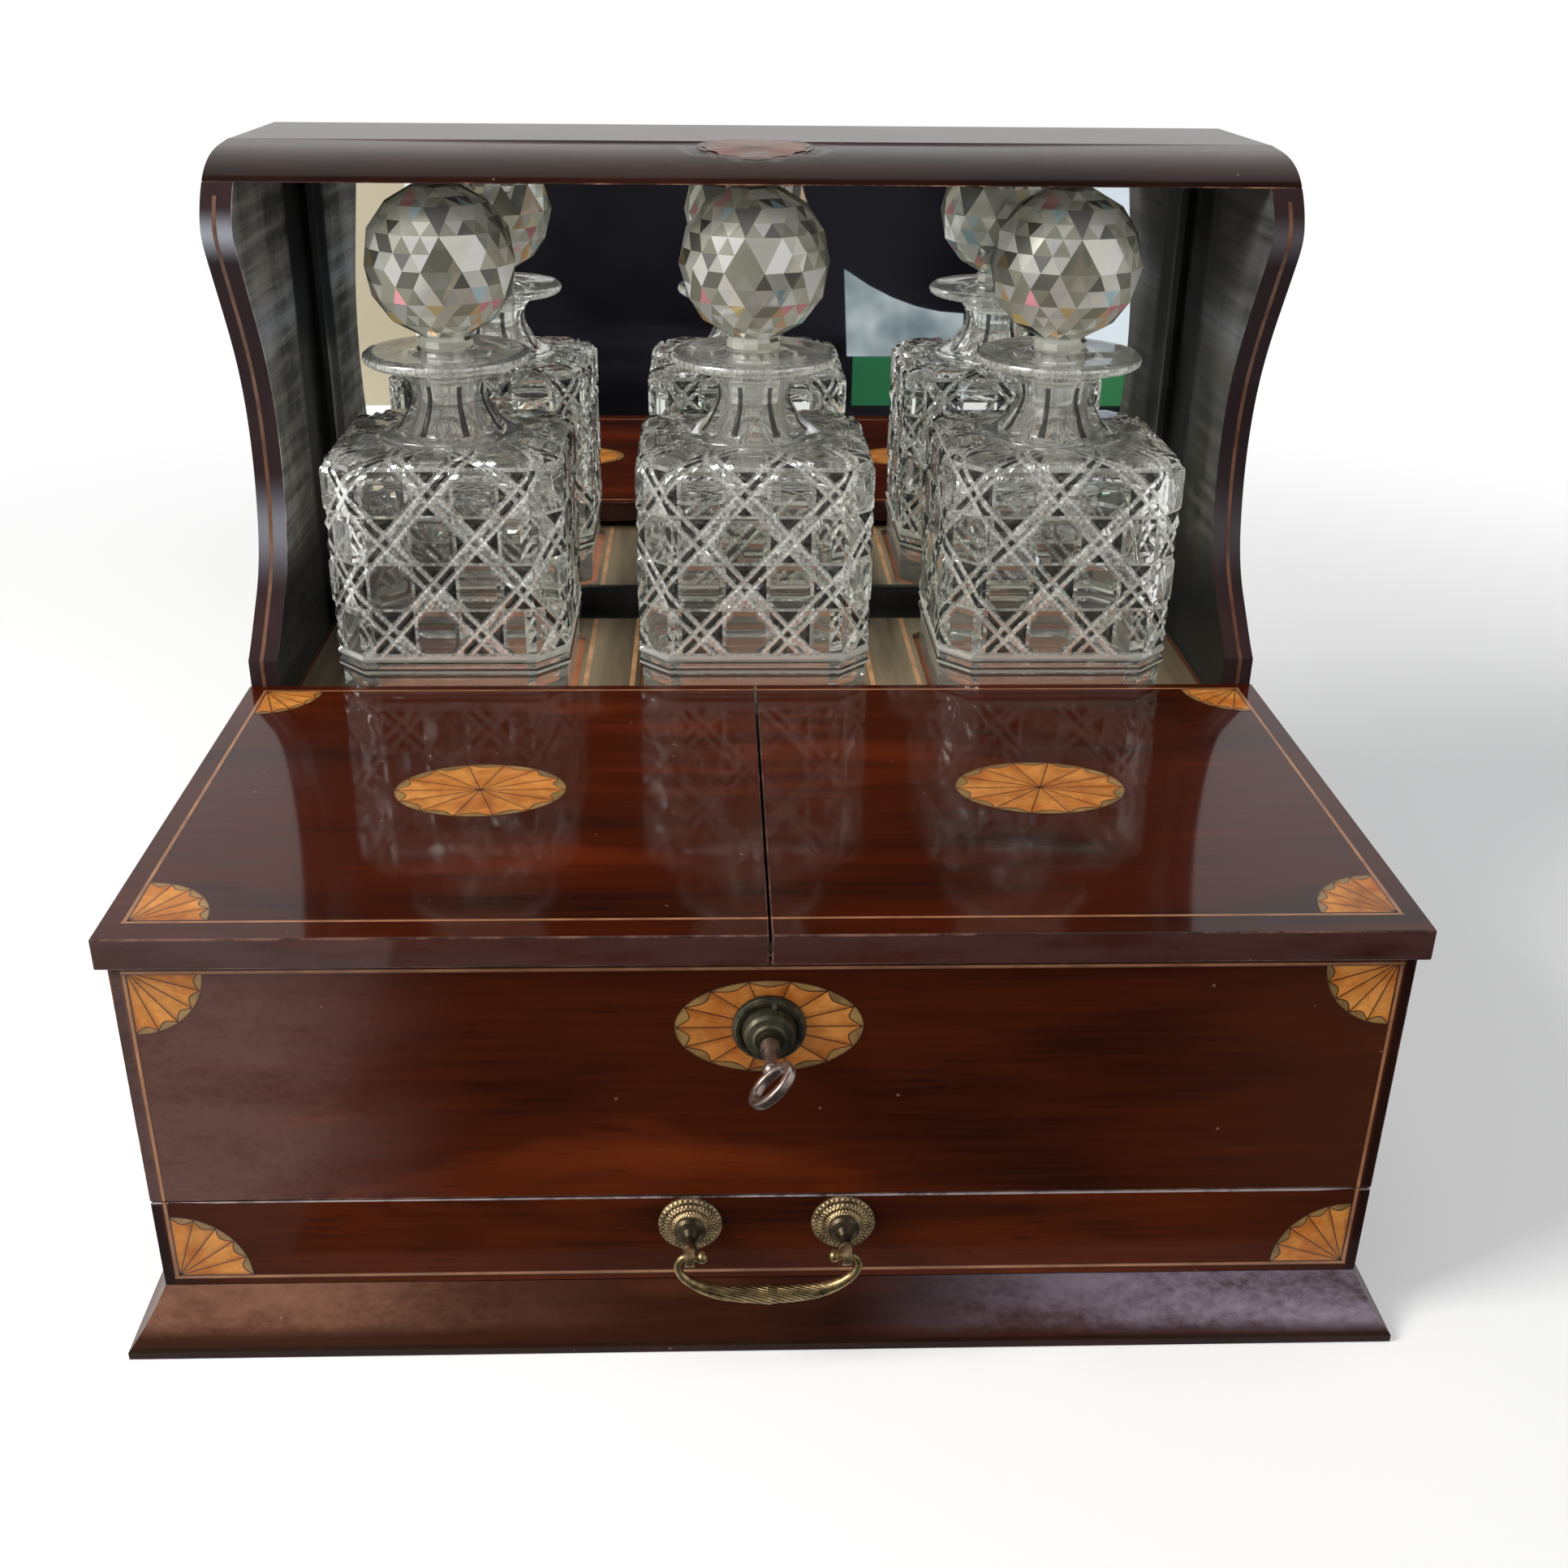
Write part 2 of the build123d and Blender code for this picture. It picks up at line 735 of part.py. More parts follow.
def lock_barrel():
    """Turning barrel with a crank pin that moves the bolt."""
    barrel_back = lock_front + 2.0
    barrel = rod(barrel_radius, (0, hub_front, key_height), (0, barrel_back, key_height))
    socket_end = hub_front + socket_depth
    socket = rod(shank_radius + shaft_fit, (0, hub_front - 1, key_height), (0, socket_end, key_height))
    offset = crank_radius * math.sin(math.radians(45))
    pin_z = key_height + offset
    pin = rod(crank_pin, (offset, barrel_back - 1, pin_z), (offset, bolt_y + 1.2, pin_z))
    return barrel - socket + pin


def key_bow():
    """Oval bow: a rounded band in a plane turned 45 degrees."""
    plane = Plane(origin=(0, bow_y, key_height), x_dir=(1, 0, 1), z_dir=(1, 0, -1))
    outer = Ellipse(bow_half_width + bow_wire, bow_half_length + bow_wire)
    inner = Ellipse(bow_half_width - bow_wire, bow_half_length - bow_wire)
    band = extrude(plane * (outer - inner), amount=bow_band, both=True)
    return fillet(band.edges(), 0.75 * min(bow_wire, bow_band))


def key():
    """Pipe key: shank, collar, ball and bow."""
    start = hub_front + socket_depth - 0.5
    end = bow_y + bow_half_length
    shank = rod(shank_radius, (0, start, key_height), (0, end, key_height))
    collar = rod(2.9, (0, hub_front - 1.6, key_height), (0, hub_front - 5.2, key_height))
    ball = Pos(0, end + 1.8, key_height) * Sphere(2.7)
    return shank + collar + ball + key_bow()


# ---------- drawer ----------
side_outer = inner_half - drawer_side_gap
side_inner = side_outer - 7.0
drawer_end = back_front - drawer_back_room
drawer_side_top = drawer_top - running_gap
tray_low = drawer_bottom + 3.0
tray_high = tray_low + 4.0
groove = 3.0


def drawer_front():
    board = block(-case_half, case_half, case_front, front_inner, drawer_bottom, drawer_top)
    board = sunk(board, set_in_front(drawer_plans(inlay_fit), 1.0))
    half = side_inner + groove
    board = board - block(-half, half, front_inner - groove, front_inner + 1, tray_low, tray_high)
    for x in (-post_spacing / 2, post_spacing / 2):
        board = board - rod(2.1, (x, case_front - 1, handle_z), (x, front_inner + 1, handle_z))
    return board


def drawer_side_right():
    side = block(side_inner, side_outer, front_inner, drawer_end, drawer_bottom, drawer_side_top)
    slot_end = side_inner + groove
    return side - block(side_inner - 1, slot_end, front_inner - 1, drawer_end + 1, tray_low, tray_high)


def drawer_back():
    return block(-side_inner, side_inner, drawer_end - 7, drawer_end, tray_high, drawer_side_top)


def drawer_bottom_board():
    half = side_inner + groove
    return block(-half, half, front_inner - groove, drawer_end, tray_low, tray_high)


def drawer_stops():
    outer = side_inner - stop_inset
    front = drawer_end + running_gap
    top = plinth_height + stop_height
    right = block(outer - stop_width, outer, front, front + stop_depth, plinth_height, top)
    return joined([right, flipped(right)])


def drawer_inlay():
    return joined(set_in_front(drawer_plans(0), 0))


def front_inlay():
    return joined(set_in_front(front_plans(0), 0))


# ---------- handle ----------
def handle_rosettes():
    r = rosette_radius
    points = [
        (2.2, 0), (r, 0), (r, 0.8), (r - 0.8, 1.5), (r - 2.0, 1.3), (r - 3.0, 2.2), (r - 4.2, 1.9),
        (r - 5.0, 2.9), (r - 6.2, 3.2), (2.2, 3.2),
    ]
    right = facing_front(turned(points), post_spacing / 2, case_front, handle_z)
    return joined([right, flipped(right)])


def handle_post(x):
    reach = handle_reach
    points = [
        (0, -12.5), (2.0, -12.5), (2.0, 3.3), (4.6, 3.3), (4.9, 4.2), (4.2, 5.2), (2.7, 6.0), (1.7, 8.0),
        (1.7, reach - 4.6), (2.4, reach - 3.6), (2.2, reach - 2.2), (0, reach - 2.2),
    ]
    post = facing_front(turned(points), x, case_front, handle_z)
    post = post + rod(eye_radius, (x - eye_half, handle_y, handle_z), (x + eye_half, handle_y, handle_z))
    return post - rod(bail_wire + eye_fit, (x - 6, handle_y, handle_z), (x + 6, handle_y, handle_z))


def handle_posts():
    return joined([handle_post(-post_spacing / 2), handle_post(post_spacing / 2)])


def handle_nuts():
    ring = turned([(2.05, 0), (5.0, 0), (5.0, 0.8), (4.0, 1.2), (4.0, 2.4), (2.05, 2.4)])
    right = Pos(post_spacing / 2, front_inner, handle_z) * Rot(-90, 0, 0) * ring
    return joined([right, flipped(right)])


def bail_arm(half):
    """Right arm of the bail about the middle of its eyes: thin at the eye, thick at the knop."""
    drop = bail_drop
    points = [
        (half - 3.6, 0), (half - 1.8, 0), (half, 0), (half + 1.8, 0), (half + 3.2, -1.3), (half + 3.7, -3.8),
        (half + 2.0, -0.5 * drop), (half - 3.4, -0.77 * drop), (half - 8.5, -0.9 * drop),
        (half - 15.5, -0.97 * drop), (knop_half / 2, -drop),
    ]
    path = Spline([(x, 0, z) for x, z in points], tangents=[(1, 0, 0), (-1, 0, 0)])
    swell = (bail_wire + bail_middle) / 2
    stations = [(0, bail_wire), (0.3, bail_wire), (0.52, swell), (0.78, bail_middle), (1, bail_middle)]
    sections = [Plane(origin=path @ t, z_dir=path % t) * Circle(r) for t, r in stations]
    return sweep(Sketch() + sections, path=path, multisection=True)


def handle_bail():
    """Hanging bail: ends pass through the post eyes, middle is thick with a knop."""
    half = post_spacing / 2
    arm = bail_arm(half)
    bail = arm + mirror(arm, about=Plane.YZ)
    low, high = bail_middle + 0.1, bail_middle + 0.5
    ring = turned([(0, -knop_half), (low, -knop_half), (high, 0), (low, knop_half), (0, knop_half)])
    bail = bail + Pos(0, 0, -bail_drop) * Rot(0, 90, 0) * ring
    ball = Rot(0, 90, 0) * Sphere(bail_ball) & Box(2 * bail_ball - 0.2, 9, 9)
    ball_x = half - eye_half - running_gap - bail_ball
    for side_sign in (-1, 1):
        bail = bail + Pos(side_sign * ball_x, 0, 0) * ball
    return Pos(0, handle_y, handle_z) * bail


# ---------- decanters ----------
def bottle_prism(half, corner, z0, z1, top_round):
    prism = extrude(square_plan(half, corner, z0), amount=z1 - z0, dir=(0, 0, 1))
    if top_round > 0:
        prism = fillet(prism.faces().sort_by(Axis.Z)[-1].edges(), top_round)
    return prism


def decanter():
    """Square spirit decanter standing on Z = 0, hollow, with a wide lip."""
    half = decanter_width / 2
    foot = bottle_prism(foot_width / 2, decanter_corner, 0, foot_height, 0)
    body = bottle_prism(half, decanter_corner, foot_height, shoulder_height, shoulder_round)
    low = shoulder_height - 3.0
    top = lip_height
    waist = (low + top) / 2
    flare = [
        (24.0, low + 2.0), (18.5, low + 6.0), (neck_waist + 1.2, waist - 5.5), (neck_waist, waist),
        (neck_waist + 1.0, waist + 4.5), (18.5, top - 8.0), (25.0, top - 5.6),
    ]
    curve = Spline([(r, 0, z) for r, z in flare])
    lip = Polyline(
        (25.0, 0, top - 5.6), (lip_radius - 1.6, 0, top - 5.0), (lip_radius, 0, top - 3.6),
        (lip_radius, 0, top - 2.0), (lip_radius - 1.9, 0, top - 0.8), (22, 0, top - 1.2),
        (13, 0, top + 0.3), (0, 0, top + 0.3), (0, 0, low), (24.0, 0, low), (24.0, 0, low + 2.0),
    )
    neck = revolve(make_face([curve, lip]), Axis.Z)
    inside = bottle_prism(half - wall, decanter_corner - 1, base_wall, shoulder_height - 7, 8.0)
    mouth = lip_height + 0.4
    throat = turned([
        (0, shoulder_height - 12), (neck_bore + 5, shoulder_height - 12), (neck_bore + 2, shoulder_height - 4),
        (neck_bore, shoulder_height + 4), (neck_bore, lip_height - taper_length), (taper_top, mouth), (0, mouth),
    ])
    return foot + body + neck - inside - throat


def facet_directions():
    """Directions of the cut facets: rows round the ball, each row staggered."""
    rows = ((0, 8, 0.0), (33, 8, 22.5), (-33, 8, 22.5), (62, 8, 0.0), (-62, 8, 0.0))
    directions = []
    for lift, count, start in rows:
        for i in range(count):
            turn = math.radians(start + 360 / count * i)
            up = math.radians(lift)
            directions.append((math.cos(up) * math.cos(turn), math.cos(up) * math.sin(turn), math.sin(up)))
    return directions


def stopper():
    """Faceted ball stopper in its place above a decanter that stands on Z = 0."""
    size = 2 * stopper_facet + 3
    ball = Box(size, size, size)
    for direction in facet_directions():
        facet = Plane(origin=Vector(*direction) * stopper_facet, z_dir=direction)
        ball = split(ball, bisect_by=facet, keep=Keep.BOTTOM)
    cap = block(-size, size, -size, size, -stopper_facet + 1.0, stopper_facet + stopper_cap)
    ball = Pos(0, 0, stopper_centre) * (ball & cap)
    low = lip_height - taper_length
    ball_low = stopper_centre - stopper_facet + 3
    plug = turned([
        (0, low + 1), (neck_bore - stopper_fit - 0.6, low + 1), (neck_bore - stopper_fit + 0.03, low + 2),
        (taper_top - stopper_fit - 0.02, lip_height), (taper_top - 0.6, lip_height + 1.2),
        (stopper_neck + 1.4, lip_height + 2.4), (stopper_neck + 1.4, lip_height + 5.2),
        (stopper_neck, lip_height + 7.4), (stopper_neck, ball_low), (0, ball_low),
    ])
    return ball + plug


# ---------- build and save ----------
decanter_shape = decanter()
stopper_shape = stopper()


def place(shape, x):
    return Pos(x, decanter_y, decanter_base) * shape


side = side_right()
hood_side = hood_side_right()
plinth_side = plinth_right()
lid = lid_right()
lid_inlay = lid_inlay_right()
staple = lid_staple_right()
fixed_leaves = hinge_fixed_right()
lid_leaves = hinge_lid_right()
drawer_side = drawer_side_right()

nodes = {
    "base_board": base_board(),
    "plinth_front": plinth_front(),
    "plinth_left": flipped(plinth_side),
    "plinth_right": plinth_side,
    "plinth_back": plinth_back(),
    "side_left": flipped(side),
    "side_right": side,
    "front_panel": front_panel(),
    "dust_board": dust_board(),
    "compartment_back": compartment_back(),
    "centre_partition": centre_partition(),
    "case_back": case_back_board(),
    "bay_floor": bay_floor(),
    "bay_frame": bay_frame(),
    "bay_strings": bay_strings(),
    "bay_rear_rail": bay_rear_rail(),
    "mirror_glass": mirror_glass(),
    "mirror_beads": mirror_beads(),
    "mirror_back": mirror_back(),
    "hood_side_left": flipped(hood_side),
    "hood_side_right": hood_side,
    "hood_side_strings": hood_side_strings(),
    "hood_top": hood_top(),
    "hood_patera": hood_oval(0),
    "front_inlay": front_inlay(),
    "lock_case": lock_case(),
    "lock_screws": lock_screws(),
    "lock_bolt": lock_bolt(),
    "lock_boss": lock_boss(),
    "lock_barrel": lock_barrel(),
    "key": key(),
    "hinge_fixed_left": flipped(fixed_leaves),
    "hinge_fixed_right": fixed_leaves,
    "hinge_pins": hinge_pins(),
    "hinge_lid_left": flipped(lid_leaves),
    "hinge_lid_right": lid_leaves,
    "lid_left": flipped(lid),
    "lid_right": lid,
    "lid_inlay_left": flipped(lid_inlay),
    "lid_inlay_right": lid_inlay,
    "lid_staple_left": flipped(staple),
    "lid_staple_right": staple,
    "drawer_front": drawer_front(),
    "drawer_side_left": flipped(drawer_side),
    "drawer_side_right": drawer_side,
    "drawer_back": drawer_back(),
    "drawer_bottom": drawer_bottom_board(),
    "drawer_stops": drawer_stops(),
    "drawer_inlay": drawer_inlay(),
    "handle_rosettes": handle_rosettes(),
    "handle_posts": handle_posts(),
    "handle_nuts": handle_nuts(),
    "handle_bail": handle_bail(),
    "decanter_left": place(decanter_shape, -decanter_pitch),
    "decanter_centre": place(decanter_shape, 0),
    "decanter_right": place(decanter_shape, decanter_pitch),
    "stopper_left": place(stopper_shape, -decanter_pitch),
    "stopper_centre": place(stopper_shape, 0),
    "stopper_right": place(stopper_shape, decanter_pitch),
}

for name, shape in nodes.items():
    shape = Pos(0, centre_shift, 0) * shape
    export_step(shape, "parts/" + name + ".step")
    box = shape.bounding_box()
    print(name, [round(v, 2) for v in (*box.min, *box.max)], round(shape.volume, 1))
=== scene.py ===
import json
import math
import random

import bmesh
import bpy
from mathutils import Matrix, Vector

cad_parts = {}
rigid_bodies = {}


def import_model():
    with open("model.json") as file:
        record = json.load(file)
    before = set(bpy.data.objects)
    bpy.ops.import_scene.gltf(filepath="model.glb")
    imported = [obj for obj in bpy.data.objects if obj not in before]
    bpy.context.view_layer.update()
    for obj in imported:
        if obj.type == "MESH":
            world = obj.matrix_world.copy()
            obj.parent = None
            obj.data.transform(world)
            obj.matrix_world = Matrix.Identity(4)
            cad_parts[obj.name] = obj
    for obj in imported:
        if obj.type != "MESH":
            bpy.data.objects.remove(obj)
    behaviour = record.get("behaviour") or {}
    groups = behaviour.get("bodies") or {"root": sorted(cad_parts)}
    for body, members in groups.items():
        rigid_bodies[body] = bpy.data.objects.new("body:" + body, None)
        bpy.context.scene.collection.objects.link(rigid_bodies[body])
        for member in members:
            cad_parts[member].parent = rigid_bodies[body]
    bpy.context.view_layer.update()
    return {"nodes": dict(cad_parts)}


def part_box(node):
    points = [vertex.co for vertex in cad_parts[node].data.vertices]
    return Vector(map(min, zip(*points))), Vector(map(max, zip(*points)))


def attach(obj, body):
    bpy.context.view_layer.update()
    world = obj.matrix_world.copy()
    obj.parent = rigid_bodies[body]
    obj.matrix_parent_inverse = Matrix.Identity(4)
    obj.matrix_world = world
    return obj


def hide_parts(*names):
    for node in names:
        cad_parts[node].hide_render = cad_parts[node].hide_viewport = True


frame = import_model()
nodes = frame["nodes"]
scene = bpy.context.scene
rng = random.Random(7)


# Lengths are in millimetres; materials, modifiers, floor, cards and lights use metres.
def mm(x, y, z):
    return Vector((x / 1000, y / 1000, z / 1000))


def corners(node):
    """Lowest and highest corner of a node at rest."""
    lo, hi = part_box(node)
    return Vector(lo) * 1000, Vector(hi) * 1000


def middle(node):
    lo, hi = corners(node)
    return (lo + hi) / 2


PANEL_LO, PANEL_HI = corners("front_panel")
LID_TOP = corners("lid_right")[1].z
BAY_LO, BAY_HI = corners("mirror_beads")
POSTS_LO, POSTS_HI = corners("handle_posts")
STRING_WIDTH = 1.4
HALF_STRING = STRING_WIDTH / 2


# Node trees
class Tree:
    """Builds the nodes of one material, or of the world."""

    def __init__(self, name, store=bpy.data.materials, output="ShaderNodeOutputMaterial"):
        self.owner = store.new(name)
        self.owner.use_nodes = True
        self.nt = self.owner.node_tree
        self.nt.nodes.clear()
        self.out = self.nt.nodes.new(output)
        self.pos = self.node("TexCoord", out="Object")

    def put(self, node, socket, value):
        s = node.inputs[socket]
        if isinstance(value, bpy.types.NodeSocket):
            self.nt.links.new(value, s)
        else:
            s.default_value = value

    def node(self, kind, ins=(), out=0, **props):
        n = self.nt.nodes.new("ShaderNode" + kind)
        for key, value in props.items():
            setattr(n, key, value)
        for key, value in dict(ins).items():
            self.put(n, key, value)
        return n if out is None else n.outputs[out]

    def math(self, op, a, b=0.0, c=0.0, clamp=False):
        return self.node("Math", {0: a, 1: b, 2: c}, operation=op, use_clamp=clamp)

    def times(self, a, b):
        return self.math("MULTIPLY", a, b)

    def plus(self, a, b):
        return self.math("ADD", a, b)

    def minus(self, a, b):
        return self.math("SUBTRACT", a, b)

    def sum(self, a, share, b, other_share):
        return self.plus(self.times(a, share), self.times(b, other_share))

    def attribute(self, name):
        return self.node("Attribute", out=2, attribute_name=name)

    def light(self, kind, colour, strength):
        return self.node(kind, {"Color": colour, "Strength": strength})

    def mix_shader(self, fac, a, b):
        return self.node("MixShader", {0: fac, 1: a, 2: b})

    def scaled(self, scale, shift=(0, 0, 0)):
        return self.node("Mapping", {"Vector": self.pos, "Scale": scale, "Location": shift})

    def noise(self, scale, detail, rough, distort=0.0, at=None):
        ins = {"Vector": at or self.pos, "Scale": scale, "Detail": detail, "Roughness": rough}
        return self.node("TexNoise", {**ins, "Distortion": distort})

    def drawn(self, scale, detail, rough, distort=0.0, shift=(0, 0, 0)):
        """Noise with a scale of its own along each axis."""
        return self.noise(1.0, detail, rough, distort, self.scaled(scale, shift))

    def grain(self, scale, along, ratio, at, detail, rough, distort=0.0):
        """Noise drawn out along axis along."""
        v = [scale, scale, scale]
        v[along] = scale * ratio
        return self.drawn(v, detail, rough, distort, at)

    def ramp(self, value, stops, mode="LINEAR"):
        n = self.node("ValToRGB", {"Fac": value}, out=None)
        cr = n.color_ramp
        cr.interpolation = mode
        while len(cr.elements) < len(stops):
            cr.elements.new(0.5)
        for e, (p, c) in zip(cr.elements, stops):
            e.position = p
            e.color = linear(c)
        return n.outputs["Color"]

    def mix(self, fac, a, b):
        return self.node("Mix", {0: fac, 6: linear(a), 7: linear(b)}, out=2, data_type="RGBA")

    def tint(self, colour, tone, mask, share):
        return self.mix(self.times(mask, share), colour, tone)

    def step(self, value, lo, hi):
        ins = {"Value": value, "From Min": lo, "From Max": hi}
        return self.node("MapRange", ins, interpolation_type="SMOOTHSTEP")

    def bump(self, height, strength, distance):
        return self.node("Bump", {"Height": height, "Strength": strength, "Distance": distance})

    def axis(self, i):
        return self.node("SeparateXYZ", {0: self.pos}, out=i)

    def away(self, i):
        """Distance from the middle along axis i."""
        return self.math("ABSOLUTE", self.axis(i))

    def below(self, a, b):
        return self.math("LESS_THAN", a, b)

    def facing(self, i):
        """How far the surface faces along axis i."""
        normal = self.node("NewGeometry", {}, out=3)
        return self.node("SeparateXYZ", {0: normal}, out=i)

    def band(self, i, lo, hi, soft):
        """1 between two places on axis i, fading over soft at both."""
        rise = self.step(self.axis(i), lo - soft, lo + soft)
        return self.minus(rise, self.step(self.axis(i), hi - soft, hi + soft))

    def principled(self, **ins):
        return self.node("BsdfPrincipled", {key.replace("_", " "): value for key, value in ins.items()})

    def polished(self, colour, rough, coat, coat_rough, specular, **more):
        return self.finish(self.principled(Base_Color=colour, Roughness=rough, Coat_Weight=coat,
                                           Coat_Roughness=coat_rough, Specular_IOR_Level=specular, **more))

    def metallic(self, colour, metal, rough, **more):
        return self.finish(self.principled(Base_Color=colour, Metallic=metal, Roughness=rough, **more))

    def finish(self, shader):
        self.nt.links.new(shader, self.out.inputs["Surface"])
        return self.owner


def linear(colour):
    """Linear colour from three ordinary 0 to 255 values; sockets and four linear values stay."""
    if isinstance(colour, bpy.types.NodeSocket) or len(colour) == 4:
        return colour
    parts = [v / 255 for v in colour]
    return (*(v / 12.92 if v <= 0.04045 else ((v + 0.055) / 1.055) ** 2.4 for v in parts), 1.0)


# Woods
def specks(t, scale, radius, share):
    """Sparse round pits or dust specks: 1 on a speck, 0 elsewhere."""
    cells = t.node("TexVoronoi", {"Vector": t.pos, "Scale": scale}, out=None)
    dot = t.below(cells.outputs["Distance"], radius)
    pick = t.node("SeparateColor", {0: cells.outputs["Color"]})
    return t.times(dot, t.below(pick, share))


def mahogany(name, along, seed, dark, mid, light, coat, coat_rough=0.09, smoke=0.5, changes=()):
    """French-polished mahogany: broad soft clouds, fine grain, pores, pits and an uneven gloss."""
    t = Tree(name)
    at = (seed, seed * 0.7, seed * 1.3)
    clouds = t.grain(30.0, along, 0.26, at, 3.0, 0.5, 0.4)
    streaks = t.grain(90.0, along, 0.07, at, 4.0, 0.6, 0.3)
    fibre = t.grain(420.0, along, 0.04, at, 3.0, 0.6)
    pores = t.grain(900.0, along, 0.06, at, 2.0, 0.5)
    figure = t.sum(clouds, 0.74, streaks, 0.26)
    colour = t.ramp(figure, [(0.36, dark), (0.48, mid), (0.56, mid), (0.68, light)])
    colour = t.tint(colour, light, t.step(fibre, 0.35, 0.75), 0.18)
    patch = t.grain(11.0, along, 0.5, at, 4.0, 0.6)
    smoky = t.times(t.step(patch, 0.52, 0.74), smoke)
    colour = t.mix(smoky, colour, [int(v * 0.72) for v in dark])
    pore = t.step(pores, 0.62, 0.74)
    colour = t.tint(colour, (20, 8, 5), pore, 0.5)
    for change in changes:
        colour = change(t, colour)
    colour = t.tint(colour, (150, 118, 100), specks(t, 130.0, 0.07, 0.12), 0.4)
    ripple = t.noise(48.0, 2.0, 0.5)
    height = t.sum(ripple, 0.7, pore, -0.08)
    normal = t.bump(height, 0.09, 0.0006)
    smears = t.noise(34.0, 5.0, 0.6)
    roughness = t.plus(0.36, t.times(smears, 0.24))
    return t.polished(colour, roughness, coat, coat_rough, 0.03, Normal=normal, Coat_IOR=1.45)


def worn_edge(name, pale, dark, lo, hi):
    """Arris of a polished board, rubbed through to paler wood here and there."""
    t = Tree(name)
    chips = t.noise(95.0, 6.0, 0.72)
    broad = t.noise(11.0, 2.0, 0.5)
    fac = t.step(t.sum(chips, 0.65, broad, 0.35), lo, hi)
    colour = t.mix(fac, dark, pale)
    return t.polished(colour, 0.5, 0.25, 0.2, 0.2)


def plain_wood(name, along, dark, light, seed=0.0, rough=0.6, coat=0.0):
    """Unpolished secondary timber with a plain straight grain."""
    t = Tree(name)
    at = (seed, seed, seed)
    figure = t.grain(40.0, along, 0.08, at, 5.0, 0.6, 0.5)
    fibre = t.grain(260.0, along, 0.04, at, 3.0, 0.6)
    colour = t.mix(t.step(figure, 0.3, 0.75), dark, light)
    colour = t.tint(colour, dark, t.step(fibre, 0.4, 0.8), 0.35)
    normal = t.bump(fibre, 0.25, 0.0004)
    return t.polished(colour, rough, coat, 0.2, 0.2, Normal=normal)


def rubbed(t, lo, hi):
    """Upright smears where black stain has been wiped and has gone dusty."""
    broad = t.drawn((30, 26, 9), 6.0, 0.68, 0.7)
    fine = t.noise(170.0, 4.0, 0.7)
    return t.step(t.sum(broad, 0.75, fine, 0.25), lo, hi), fine


def ebonised(name, base, worn, amount):
    """Black stained wood, rubbed and dusty."""
    t = Tree(name)
    wear, fine = rubbed(t, 0.38, 0.70)
    fac = t.times(wear, amount)
    colour = t.mix(fac, base, worn)
    roughness = t.plus(0.36, t.times(fac, 0.3))
    normal = t.bump(fine, 0.15, 0.0004)
    return t.polished(colour, roughness, 0.25, 0.16, 0.2, Normal=normal)


def hood_outside(t, right):
    """Dark mahogany; the front edge is tinted grey-lilac as a painted sheen, with two bands of painted
    highlight, weaker on the right side.
    """
    streaks = t.grain(80.0, 2, 0.08, (3, 1, 2), 4.0, 0.6, 0.4)
    clouds = t.drawn((24, 24, 8), 3.0, 0.5)
    figure = t.sum(streaks, 0.5, clouds, 0.5)
    colour = t.ramp(figure, [(0.36, (28, 14, 10)), (0.52, (52, 26, 18)), (0.66, (84, 44, 28))])
    # painted highlights: two bands across the front edge
    low_band = t.times(t.band(2, 0.192, 0.208, 0.014), 0.42)
    high_band = t.times(t.band(2, 0.308, 0.316, 0.006), 0.75)
    sheen = t.times(t.plus(low_band, high_band), t.minus(1.0, t.times(right, 0.8)))
    edge = t.below(t.facing(1), -0.5)
    # painted sheen: the front-facing faces are tinted grey-lilac
    colour = t.tint(colour, (54, 43, 47), edge, 0.6)
    return t.mix(t.times(edge, sheen), colour, (190, 196, 208))


def hood_inside(t, right, wear):
    """Black stain rubbed pale, the pale partly a painted reflection, so much less of it on the right side,
    with a pale bluish patch near the top that is a painted reflection of a window.
    """
    # rubbing and painted reflection, weakened on the right side
    rubbed_and_reflected = t.times(wear, t.minus(1.0, t.times(right, 0.82)))
    colour = t.mix(rubbed_and_reflected, (18, 18, 18), (196, 194, 188))
    # painted reflection of a window: a pale bluish band near the top
    patch = t.times(t.band(2, 0.268, 0.284, 0.008), rubbed_and_reflected)
    return t.mix(patch, colour, (206, 212, 224))


def hood_wear(t, smears):
    """Rubbing and scratches, with none beside the mirror and little near the bay's floor."""
    scratches = t.drawn((4, 10, 190), 4.0, 0.65)
    wear = t.sum(smears, 0.5, t.step(scratches, 0.38, 0.68), 0.5)
    clean = BAY_LO.y - 34.0
    near_mirror = t.step(t.axis(1), clean / 1000, (clean + 6.0) / 1000)
    wear = t.times(wear, t.minus(1.0, t.times(near_mirror, 0.97)))
    return t.times(wear, t.plus(0.12, t.times(t.step(t.axis(2), 0.176, 0.205), 0.88)))


def hood_side_wood(name):
    """Dark mahogany outside and in front, with painted sheen and highlights on the front edge; black rubbed
    stain on the faces towards the bay, partly a painted reflection.
    """
    t = Tree(name)
    right = t.step(t.axis(0), -0.1, 0.1)
    smears, fine = rubbed(t, 0.3, 0.62)
    wear = hood_wear(t, smears)
    inner = t.below(t.away(0), (BAY_HI.x + 0.2) / 1000)
    colour = t.mix(inner, hood_outside(t, right), hood_inside(t, right, wear))
    roughness = t.plus(0.34, t.times(t.times(wear, inner), 0.25))
    normal = t.bump(fine, 0.12, 0.0004)
    return t.polished(colour, roughness, 0.06, 0.12, 0.05, Normal=normal)


